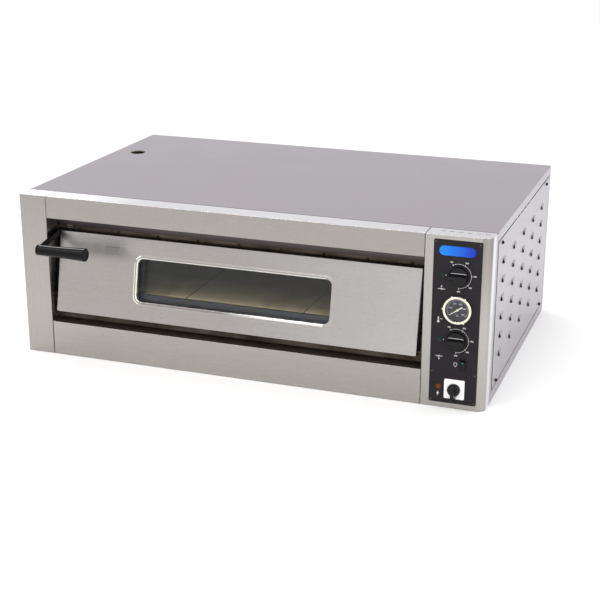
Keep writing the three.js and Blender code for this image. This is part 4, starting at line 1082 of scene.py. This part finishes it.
def make_chamber_lamp():
    glass = span("lamp_glass")
    housing = span("lamp_housing")
    centre = (0, (glass.y0 + glass.y1) / 2, (glass.z0 + glass.z1) / 2)
    radius = (housing.y1 - housing.y0) / 2
    x0, x1 = housing.x0, housing.x1
    cup = [(0, x1 - 2), (radius - 2, x1 - 2), (radius - 2, x0), (radius, x0), (radius, x1), (0, x1)]
    turned("lamp_cup", filleted(cup, [0, 1.5, 0.6, 0.6, 3, 0]), centre, "ceramic",
           ["lamp_housing"], axis="x")
    flange, wall = (glass.y1 - glass.y0) / 2, 1.6
    base, tip = glass.x1, glass.x0
    outer = flange - 4
    inner = outer - wall

    def dome(reach, height):
        return [(reach * u, base - wall - height * v) for u, v in arc((0, 0), 1, 0, 90, 10)]

    lens = dome(inner, base - 2 * wall - tip)[::-1]
    lens += [(inner, base), (flange, base), (flange, base - wall)] + dome(outer, base - wall - tip)
    turned("lamp_lens", lens, centre, "glass", ["lamp_glass"], axis="x")


# ---------------------------------------------------------------- door
def window_ring(grow, depth, lift=0.0):
    """The window's outline, grown all round, as a ring of points at a depth behind the face."""
    outline = rounded_rect(WINDOW_LEFT - grow, WINDOW_RIGHT + grow, WINDOW_BOTTOM - grow + lift,
                           WINDOW_TOP + grow, max(WINDOW_RADIUS + grow, 2), 10)
    return [(u, depth, v) for u, v in outline]


def door_ring(inset, depth, radius):
    outline = rounded_rect(skin.x0 + inset, skin.x1 - inset, inset, DOOR_HEIGHT - inset,
                           max(radius, 0.05), 10)
    return [(u, depth, v) for u, v in outline]


def make_door_skin():
    """The door's face: folded edges, and a collar that is rolled in round the window."""
    fold = 2.4
    rings = [door_ring(0, DOOR_SKIN_BACK, fold)]
    rings += [door_ring(fold - u, fold - v, u) for u, v in arc((0, 0), fold, 0, 90, 6)]
    bead, groove = 0.5, 0.35
    rim = filleted([(RIM_ROLL + 4.2, 0), (RIM_ROLL + 2.6, groove), (RIM_ROLL, -bead), (0, -bead),
                    (0, COLLAR)], [0, 1.2, 2.0, 4.6, 0], steps=6)
    bm = add_rings(bmesh.new(), rings + [window_ring(grow, depth) for grow, depth in rim], "open")
    face_towards(bm, lambda face: Vector((0, -1, 0)))
    obj = placed("door_skin_pressed", bm, TO_ROW @ DOOR_FRAME)
    thicken(obj)
    pin_holes = bmesh.new()
    for x in (skin.x0, skin.x1):
        add_prism(pin_holes, circle(PIN_DEPTH, PIN_HEIGHT, PIN_HOLE_RADIUS, 40), "x", x - 3, x + 3)
    pin_holes.transform(DOOR_FRAME)
    cut(obj, pin_holes)
    soften(obj, EDGE)
    dress(obj, "door", ["door_outer_skin"], "door")
    paint_rim_highlights(obj)


def paint_rim_highlights(obj):
    """Painted highlights along the window's rim: two lines on its left and top; the one under the window is
    painted shade on its left half and a painted highlight on its right.
    """
    to_door = DOOR_FRAME.inverted()
    centre = Vector(((WINDOW_LEFT + WINDOW_RIGHT) / 2, (WINDOW_BOTTOM + WINDOW_TOP) / 2))
    reach = Vector(((WINDOW_RIGHT - WINDOW_LEFT) / 2, (WINDOW_TOP - WINDOW_BOTTOM) / 2))

    def from_window(place):
        """How far outside the window's outline a place is, and the place on the door's face."""
        drawn = to_door @ place
        beside = abs(drawn.x - centre.x) - reach.x + WINDOW_RADIUS
        beyond = abs(drawn.z - centre.y) - reach.y + WINDOW_RADIUS
        return math.hypot(max(beside, 0), max(beyond, 0)) - WINDOW_RADIUS, drawn

    def on_left_and_top(place, normal):
        away, drawn = from_window(place)
        if drawn.x < WINDOW_LEFT + WINDOW_RADIUS * 0.5:
            return away < 4.6 or 6.6 < away < 8.6
        return away < 2.6 and centre.y < drawn.z and drawn.x < centre.x + reach.x / 2

    def under_window(place, normal):
        away, drawn = from_window(place)
        beside = abs(drawn.x - centre.x)
        return away < 5 and drawn.z < WINDOW_BOTTOM + 1 and beside < reach.x - WINDOW_RADIUS

    accent(obj, "rim", on_left_and_top)
    accent(obj, "low_rim", under_window)


def make_door():
    make_door_skin()
    back = DOOR_DEPTH
    rings = [door_ring(0.4, back - SHEET, 3), door_ring(0.4, back, 3), window_ring(6, back, WINDOW_LEDGE),
             window_ring(0, back, WINDOW_LEDGE), window_ring(0, back - SHEET, WINDOW_LEDGE)]
    bm = add_rings(bmesh.new(), rings, "joined")
    piece("door_liner", bm, "liner", ["door_inner_skin"], "door", DOOR_FRAME, edge=0.3)
    refined("window_frame_stepped", "door_window_frame", "window", edge=0.6, body="door")
    for node in ("door_outer_glass", "door_inner_glass"):
        refined(node + "_ground", node, "glass", edge=0.4, segments=2, body="door")
    count, margin, row_inset = 7, 14, 10
    pitch = (skin.x1 - skin.x0 - 2 * margin) / (count - 1)
    places = [DOOR_FRAME @ Vector((skin.x0 + margin + i * pitch, back, z)) for i in range(count)
              for z in (row_inset, DOOR_HEIGHT - row_inset)]
    facing = DOOR_FRAME.to_3x3() @ Vector((0, 1, 0))
    make_screws("door_liner_screws", places, facing, "screw", radius=3.2, height=1.6, body="door")


def make_handle():
    """An arm bolted to the door's left edge, with an eye at its end for the turned grip."""
    arm = span("handle_arm")
    grip = span("handle_grip")
    centre = Vector(((grip.y0 + grip.y1) / 2, (grip.z0 + grip.z1) / 2))
    shoulder = Vector((42, 303))
    eye_radius, half_width = 12.6, 7.5
    along = (shoulder - centre).normalized()
    across = Vector((-along.y, along.x))
    heading = math.degrees(math.atan2(along.y, along.x))
    opening = math.degrees(math.asin(half_width / eye_radius))
    eye = arc(centre, eye_radius, heading + opening, heading + 360 - opening, 28)

    def foot(depth, slant):
        point = DOOR_FRAME @ Vector((0, depth, slant))
        return (point.y, point.z)

    top, low, front, back = 194.5, 163, 1, 33
    under = shoulder - across * half_width
    outline = filleted([
        (under.x - 1.4, under.y - 0.4), foot(front, low), foot(back, low),
        foot(back, top), foot(front + 10, top), tuple(shoulder + across * half_width),
    ], [0, 6, 6, 6, 9, 0])
    bm = add_prism(bmesh.new(), eye + outline, "x", arm.x0, arm.x1)
    piece("handle_arm_bar", bm, "handle", ["handle_arm"], "door", edge=1.5, segments=4,
          angle=50)

    free_radius = (grip.z1 - grip.z0) / 2
    length = grip.x1 - grip.x0
    dish, waist_depth, waist_steps = 1.0, 0.5, 16
    profile = filleted([(0, 0), (eye_radius, 0), (free_radius, length), (free_radius - 4, length),
                        (free_radius - 5.4, length - dish), (0, length - dish)],
                       [0, 1.6, 2.2, 1.0, 1.0, 0], steps=8)
    waisted = []
    for (r0, s0), (r1, s1) in zip(profile, profile[1:]):
        waisted.append((r0, s0))
        if s1 - s0 > length / 2:
            for t in (k / waist_steps for k in range(1, waist_steps)):
                waist = waist_depth * math.sin(math.pi * t)
                waisted.append((r0 + (r1 - r0) * t - waist, s0 + (s1 - s0) * t))
    waisted.append(profile[-1])
    obj = turned("handle_grip_turned", waisted, (grip.x0, *centre), "handle",
                 ["handle_grip"], "door", "x", 72)
    # painted highlight: a light line along the top of the grip
    accent(obj, "gleam", lambda place, normal: 0.93 < normal.z < 0.97 and normal.y < -0.1)
    make_screws("handle_eye_bolt", [(arm.x0, *centre)], (-1, 0, 0), "screw", radius=6, height=3.2,
                body="door")
    bolts = [DOOR_FRAME @ Vector((arm.x0, 17, slant)) for slant in (171, 186)]
    make_screws("handle_foot_bolts", bolts, (-1, 0, 0), "screw", radius=4, height=2.2, body="door")


# ---------------------------------------------------------------- printing on flat fronts
def add_dot(bm, place, radius, y, steps=20):
    add_prism(bm, circle(*place, radius, steps), "y", y - INK, y)


def add_stroke(bm, points, width, y):
    """A printed line of even width on a front plate, as thin as ink."""
    points = [Vector(p) for p in points]
    left, right = [], []
    for i, point in enumerate(points):
        along = (points[min(i + 1, len(points) - 1)] - points[max(i - 1, 0)]).normalized()
        offset = Vector((-along.y, along.x)) * width / 2
        left.append(point + offset)
        right.append(point - offset)
    for i in range(len(points) - 1):
        add_prism(bm, [right[i], right[i + 1], left[i + 1], left[i]], "y", y - INK, y)


def add_number(bm, text, place, y):
    """A printed number centred at a place on a front plate."""
    height, share_of_size = 3.4, 0.72
    data = bpy.data.curves.new("number", "FONT")
    data.body = text
    data.align_x = data.align_y = "CENTER"
    data.size = height / share_of_size
    data.extrude = INK / 2
    data.offset = 0.07
    data.resolution_u = 3
    letter = bpy.data.objects.new("number", data)
    mesh = bpy.data.meshes.new_from_object(letter)
    upright = Matrix.Rotation(math.radians(90), 4, "X")
    mesh.transform(Matrix.Translation((place[0], y - INK / 2, place[1])) @ upright)
    bm.from_mesh(mesh)
    bpy.data.objects.remove(letter)
    bpy.data.curves.remove(data)
    bpy.data.meshes.remove(mesh)


def add_scale(bm, centre, y):
    """The printed arc of a thermostat with its ticks and numbers, and the dot where it is off."""
    radius, off_radius, label_radius = 27.5, 29, 35
    add_stroke(bm, arc(centre, radius, 122, -88, 40), 0.55, y)
    for degrees, text in ((120, "100"), (62, "200"), (4, "300"), (-43, "400"), (-90, "450")):
        tick = [around(centre, radius - 1.6, degrees), around(centre, radius + 2.2, degrees)]
        add_stroke(bm, tick, 1.0, y)
        add_number(bm, text, around(centre, label_radius, degrees), y)
    add_dot(bm, around(centre, off_radius, 180), 1.1, y)


def add_heat_sign(bm, x, z, y, way):
    """A bar with a heat wave in its middle and a dot on the side that the heat comes from."""
    wave = [(x + k * 0.6, z - way * 2.2 * math.cos(k * math.pi / 3) * math.exp(-abs(k) / 9))
            for k in range(-9, 10)]
    add_stroke(bm, [(x - 8.5, z), *wave, (x + 8.5, z)], 0.8, y)
    add_dot(bm, (x, z - way * 6), 1.4, y)
    add_stroke(bm, [(x, z - way * 4), (x, z + way * 3)], 0.6, y)


def add_bulb_sign(bm, x, z, y):
    add_stroke(bm, arc((x, z + 1.5), 3.6, -50, 230, 40), 0.8, y)
    add_stroke(bm, [(x - 2.2, z - 1.4), (x - 1.4, z - 4.2), (x + 1.4, z - 4.2), (x + 2.2, z - 1.4)], 0.8, y)


def add_thermometer_sign(bm, x, z, y):
    add_dot(bm, (x, z - 5), 2.7, y, 24)
    add_stroke(bm, [(x, z - 5), (x, z + 6)], 2.0, y)
    wave = [(3.6, 0.6), (5.4, 2), (7.4, 0.4), (9.2, 1.8)]
    add_stroke(bm, [(x + u, z + v) for u, v in wave], 0.9, y)


def add_power_sign(bm, x, z, y):
    bolt = [(0.5, 1.4), (3.4, 1.4), (-1.4, -7), (-0.4, -0.6), (-3.2, -0.6), (1.6, 7)]
    add_prism(bm, [(x + u, z + v) for u, v in bolt], "y", y - INK, y)


# ---------------------------------------------------------------- controls
def make_panel():
    plate = rounded_rect(panel.x0, panel.x1, panel.z0, panel.z1, 4)
    thermometer_hole = 29
    front, back = panel.y0 - 1, panel.y1 + 1
    holes = add_prism(bmesh.new(), circle(CONTROL_X, THERMOMETER_Z, thermometer_hole, 72), "y", front, back)
    centres = [(CONTROL_X, z) for z in (TOP_KNOB_Z, BOTTOM_KNOB_Z, SWITCH_Z)]
    for node in ("top_pilot_lamp", "bottom_pilot_lamp", "mains_pilot_lamp"):
        centres.append((middle(node).x, middle(node).z))
    for x, z in centres:
        add_prism(holes, circle(x, z, PANEL_HOLE_RADIUS), "y", front, back)
    rocker = span("light_switch_frame")
    add_block(holes, rocker.x0 + 1, rocker.x1 - 1, front, back, rocker.z0 + 1.5, rocker.z1 - 1.5)
    bm = add_prism(bmesh.new(), plate, "y", panel.y0, panel.y1)
    piece("panel_plate", bm, "panel", ["control_panel"], edge=0.45, segments=3, cutter=holes)

    badge = span("badge_plate")
    outline = stadium(badge.x0, badge.x1, badge.z0, badge.z1, 20)
    bm = add_prism(bmesh.new(), outline, "y", badge.y0, badge.y1)
    piece("badge_domed", bm, "blue", ["badge_plate"], edge=0.35, segments=4)


def make_printing():
    bm = bmesh.new()
    for z in (TOP_KNOB_Z, BOTTOM_KNOB_Z):
        add_scale(bm, (CONTROL_X, z), PANEL_FRONT)
    icon_x = panel.x0 + 20.5
    add_heat_sign(bm, icon_x, TOP_KNOB_Z - 32, PANEL_FRONT, -1)
    add_heat_sign(bm, icon_x, BOTTOM_KNOB_Z - 40, PANEL_FRONT, 1)
    add_thermometer_sign(bm, panel.x0 + 16, THERMOMETER_Z - 26, PANEL_FRONT)
    add_bulb_sign(bm, CONTROL_X, middle("light_switch_frame").z - 1, PANEL_FRONT)
    add_power_sign(bm, icon_x, SWITCH_Z - 14, PANEL_FRONT)
    dress(to_object("panel_printing", bm), "print")


def make_knob(name, node, z, body, sections, spindle_back):
    """A turned body with a wing and a spindle; a section of the wing is its left, right, bottom,
    top and corner radius, and how far it is in front of the knob's back."""
    back = body[0][1]
    obj = to_object(name, add_lathe(bmesh.new(), body, "y", (CONTROL_X, 0, z), 96))
    rings = [[(CONTROL_X + u, back - out, z + v) for u, v in rounded_rect(*sizes, 10)]
             for *sizes, out in sections]
    spindle = add_prism(bmesh.new(), circle(CONTROL_X, z, SPINDLE_RADIUS, 32), "y", back - 1, spindle_back)
    for part in (add_rings(bmesh.new(), rings), spindle):
        combine(obj, part, "UNION")
    soften(obj, 0.35, 2, 35)
    return dress(obj, "plastic", [node], node)


def make_thermostat_knob(name, node):
    """A skirt with a domed face and a raised grip bar."""
    box = span(node)
    radius = (box.z1 - box.z0) / 2
    depth = SEAT - box.y0
    body = filleted([(0, SEAT), (radius, SEAT), (radius, SEAT - 3.2), (radius - 2.2, SEAT - 7.0),
                     (0, SEAT - 8.2)], [0, 0.5, 1.2, 2.2, 0], steps=6)
    stages = [(21.1, 8.8, 3.0), (21.0, 8.4, 7.7), (20.8, 7.8, 9.3), (20.4, 5.8, depth * 0.75),
              (20.0, 4.6, depth - 1.6), (19.4, 3.8, depth - 0.6), (18.4, 2.8, depth)]
    sections = [(-half_length, half_length, -half_width, half_width, half_width - 0.05, out)
                for half_length, half_width, out in stages]
    obj = make_knob(name, node, middle(node).z, body, sections, box.y1)
    # painted highlight along the base of the knob's wing
    accent(obj, "gleam", lambda place, normal: 7.7 < SEAT - place.y < 9.3 and normal.z > 0.8)


def make_main_switch():
    plate = span("main_switch_plate")
    rings = []
    for inset, y in ((0, plate.y1), (0, plate.y0 + 1.4), (0.5, plate.y0 + 0.5), (1.4, plate.y0)):
        outline = rounded_rect(plate.x0 + inset, plate.x1 - inset, plate.z0 + inset, plate.z1 - inset,
                               2.6 - inset / 2)
        rings.append([(u, y, v) for u, v in outline])
    hole = add_prism(bmesh.new(), circle(CONTROL_X, SWITCH_Z, PANEL_HOLE_RADIUS), "y",
                     plate.y0 - 1, plate.y1 + 1)
    bm = add_rings(bmesh.new(), rings)
    piece("switch_plate", bm, "white", ["main_switch_plate"], edge=0.2, cutter=hole)

    knob = span("main_switch_knob")
    radius = knob.x1 - CONTROL_X
    base = plate.y0 - GAP
    depth = base - knob.y0
    body = filleted([(0, base), (radius, base), (radius, base - 6.5), (radius - 3, base - 11),
                     (0, base - 12)], [0, 0.4, 3.0, 3.5, 0], steps=7)
    top, low = 11, knob.z0 - SWITCH_Z
    stages = ((0, 5.2, 2.2), (0.1, 5.0, depth * 0.5), (0.5, 4.6, depth * 0.85),
              (1.2, 3.9, depth - 0.7), (2.2, 3.0, depth))
    sections = [(-half_width, half_width, low + trim, top - trim, half_width - 0.1, out)
                for trim, half_width, out in stages]
    make_knob("switch_knob", "main_switch_knob", SWITCH_Z, body, sections, knob.y1)


def disc_profile(radius, y0, y1, front, back):
    """A disc's profile; front and back are the radii of its rounded edges."""
    return filleted([(0, y0), (radius, y0), (radius, y1), (0, y1)], [0, front, back, 0])


def make_thermometer():
    case = span("thermometer_case")
    glass = span("thermometer_glass")
    centre = (CONTROL_X, 0, THERMOMETER_Z)
    bezel, barrel, bore = (case.x1 - case.x0) / 2, 28, (glass.x1 - glass.x0) / 2
    front, back = case.y0, case.y1
    profile = filleted([(0, back - 1.5), (barrel - 1, back - 1.5), (barrel - 1, front + 1.4),
                        (bore - 0.6, front + 1.4), (bore + 0.4, front), (bezel - 1.0, front),
                        (bezel, front + 3), (bezel, SEAT), (barrel, SEAT), (barrel, back), (0, back)],
                       [0, 0.5, 0.3, 0.2, 1.4, 2.2, 1.5, 0.3, 0.2, 1.0, 0], steps=6)
    obj = to_object("thermometer_bezel", add_lathe(bmesh.new(), profile, "y", centre, 128))
    lugs = bmesh.new()
    for degrees in (58, 112, 178, 298):
        place = around((CONTROL_X, THERMOMETER_Z), bezel - 0.2, degrees)
        add_prism(lugs, arc(place, 1.9, degrees, degrees + 360, 8)[:-1], "y", front + 1.2, front + 4.5)
    combine(obj, lugs, "UNION")
    soften(obj, 0.2)
    dress(obj, "chrome", ["thermometer_case"])

    dial_radius = (dial.x1 - dial.x0) / 2
    turned("dial_face", disc_profile(dial_radius, dial.y0, dial.y1, 0.3, 0.3), centre, "dial",
           ["thermometer_dial"], steps=96)
    print_dial((CONTROL_X, THERMOMETER_Z), dial.y0)
    turned("dial_cover", disc_profile(bore, glass.y0, glass.y1, 0.4, 0.4), centre, "dial_glass",
           ["thermometer_glass"], steps=96)
    make_needle(centre)


def print_dial(centre, y):
    start, end, ticks, every = 215, -35, 25, 5
    radius, label_radius = 23.2, 15.6
    bm = bmesh.new()
    add_stroke(bm, arc(centre, radius, start, end, 60), 0.35, y)
    for k in range(ticks + 1):
        degrees = start + (end - start) * k / ticks
        main = k % every == 0
        tick = [around(centre, 20.2 if main else 21.6, degrees), around(centre, radius, degrees)]
        add_stroke(bm, tick, 0.8 if main else 0.45, y)
        if main:
            add_number(bm, str(k * 20), around(centre, label_radius, degrees), y)
    add_stroke(bm, arc((centre[0], centre[1] - 12.5), 2.2, 0, 360, 20), 0.5, y)
    dress(to_object("dial_printing", bm), "print")


def make_needle(centre):
    needle = span("thermometer_needle")
    x, z = CONTROL_X, THERMOMETER_Z
    tilt = math.atan2(needle.z0 - z, needle.x0 - x)
    mid = (needle.y0 + needle.y1) / 2
    edge = [(-14, -0.7), (-12, -1.7), (-8, -1.5), (-3, -1.2), (0, -1.5), (8, -1.0), (22.3, -0.4)]
    blade = [(x + u * math.cos(tilt) - v * math.sin(tilt), z + u * math.sin(tilt) + v * math.cos(tilt))
             for u, v in edge + [(u, -v) for u, v in edge[::-1]]]
    obj = to_object("needle_blade", add_prism(bmesh.new(), blade, "y", mid - 0.3, mid + 0.3))
    hub = disc_profile(2.6, needle.y0, needle.y1, 0.4, 0.2)
    combine(obj, add_lathe(bmesh.new(), hub, "y", centre, 40), "UNION")
    soften(obj, 0.1)
    dress(obj, "needle", ["thermometer_needle"], "thermometer_needle")


def make_light_switch():
    refined("rocker_surround", "light_switch_frame", "plastic", edge=0.35)
    refined("rocker_cap", "light_rocker", "plastic", edge=0.5, body="light_rocker")
    cap = middle("light_rocker")
    upper_face = Vector((0, -0.957, -0.291))
    turn = Vector((0, 0, 1)).rotation_difference(upper_face).to_matrix().to_4x4()
    bm = add_lathe(bmesh.new(), [(0, -0.4), (1.4, -0.4), (1.4, 0.1), (0, 0.2)], "z", (0, 0, 0), 24)
    light = to_object("rocker_light", bm, Matrix.Translation((cap.x, -6.04, cap.z + 6.25)) @ turn)
    dress(light, "teal", body="light_rocker")


def make_pilot_lamps():
    for node, look in (("top_pilot_lamp", "green"), ("bottom_pilot_lamp", "green"),
                       ("mains_pilot_lamp", "orange")):
        box = span(node)
        height = SEAT - box.y0
        profile = filleted([(0, box.y1), (4.5, box.y1), (4.5, SEAT), (6, SEAT), (6, SEAT - 1.1),
                            (4.7, SEAT - 1.4), (4.4, SEAT - height * 0.8), (0, SEAT - height)],
                           [0, 0.4, 0.2, 0.2, 0.5, 0.3, 1.4, 0], steps=5)
        centre = (middle(node).x, 0, middle(node).z)
        turned(node + "_lens", profile, centre, look, [node])


def make_bodies():
    for node in ("top_thermostat_body", "bottom_thermostat_body"):
        refined(node + "_case", node, "ceramic", edge=1.0)
    refined("main_switch_body_case", "main_switch_body", "plastic", edge=1.0)
    refined("terminal_strip", "terminal_block", "ceramic", edge=0.6)


def make_gland():
    box = span("cable_gland")
    x, z = middle("cable_gland").x, middle("cable_gland").z
    face = rear.y1
    flange, bore = (box.x1 - box.x0) / 2, 6
    profile = filleted([(bore, face - 14), (11, face - 14), (11, face + GAP), (flange, face + GAP),
                        (flange, face + 4), (12, face + 5), (12, face + 12), (8.6, box.y1),
                        (bore, box.y1)], [0, 0.5, 0.2, 0.6, 1.0, 0.6, 3, 1, 0], steps=5)
    obj = to_object("gland_body", add_lathe(bmesh.new(), profile, "y", (x, 0, z), 64, "joined"))
    nut = add_prism(bmesh.new(), circle(x, z, flange - 1, 6), "y", face + 1, face + 7)
    combine(obj, nut, "UNION")
    cut(obj, add_prism(bmesh.new(), circle(x, z, bore + 0.2), "y", face - 16, face + 30))
    soften(obj, 0.5, 3)
    dress(obj, "plastic", ["cable_gland"])


def dress_carried_nodes():
    """CAD nodes whose own shape stays."""
    for node in ("insulation_top", "insulation_tub", "door_insulation"):
        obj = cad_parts[node]
        obj.data.materials.clear()
        obj.data.materials.append(LOOK["wool"])


# ---------------------------------------------------------------- studio
def soft_box(name, place, aim, width, height, power):
    data = bpy.data.lights.new(name, "AREA")
    data.shape = "RECTANGLE"
    data.size, data.size_y = width, height
    data.energy = power
    lamp = bpy.data.objects.new(name, data)
    lamp.location = place
    lamp.rotation_euler = (Vector(place) - Vector(aim)).to_track_quat("Z", "Y").to_euler()
    bpy.context.collection.objects.link(lamp)


def make_studio():
    bm = bmesh.new()
    bmesh.ops.create_grid(bm, x_segments=1, y_segments=1, size=12)
    floor = placed("floor", bm, Matrix())
    floor.location.z = -0.0005
    floor.data.materials.append(Nodes("floor_white").finish(Base_Color=(0.97, 0.97, 0.97, 1), Roughness=0.9))

    world = bpy.data.worlds.new("studio")
    world.use_nodes = True
    background = world.node_tree.nodes["Background"].inputs
    background["Color"].default_value = (1, 1, 1, 1)
    background["Strength"].default_value = 1.03
    bpy.context.scene.world = world
    bpy.context.scene.view_settings.view_transform = "Standard"
    soft_box("overhead_strip", (-0.7, -1.7, 2.3), (-0.1, -0.2, 0.2), 3.4, 0.15, 24)
    soft_box("rear_strip", (-0.5, 0.85, 2.2), (-0.3, -0.4, 0.3), 3.0, 0.06, 9)
    soft_box("right", (2.4, -1.6, 1.0), (0.4, 0, 0.2), 0.8, 1.4, 16)
    soft_box("left", (-2.4, -2.2, 1.4), (-0.2, 0, 0.2), 1.6, 1.6, 5)


make_post()
make_column()
make_fascias()
make_top_cover()
make_base_pan()
make_rear_panel()
make_left_side()
make_louvred_side()
make_casing_screws()
make_recess()
make_chamber()
make_door()
make_handle()
make_panel()
make_printing()
make_thermostat_knob("top_knob", "top_thermostat_knob")
make_thermostat_knob("bottom_knob", "bottom_thermostat_knob")
make_thermometer()
make_main_switch()
make_light_switch()
make_pilot_lamps()
make_bodies()
make_gland()
dress_carried_nodes()
make_studio()
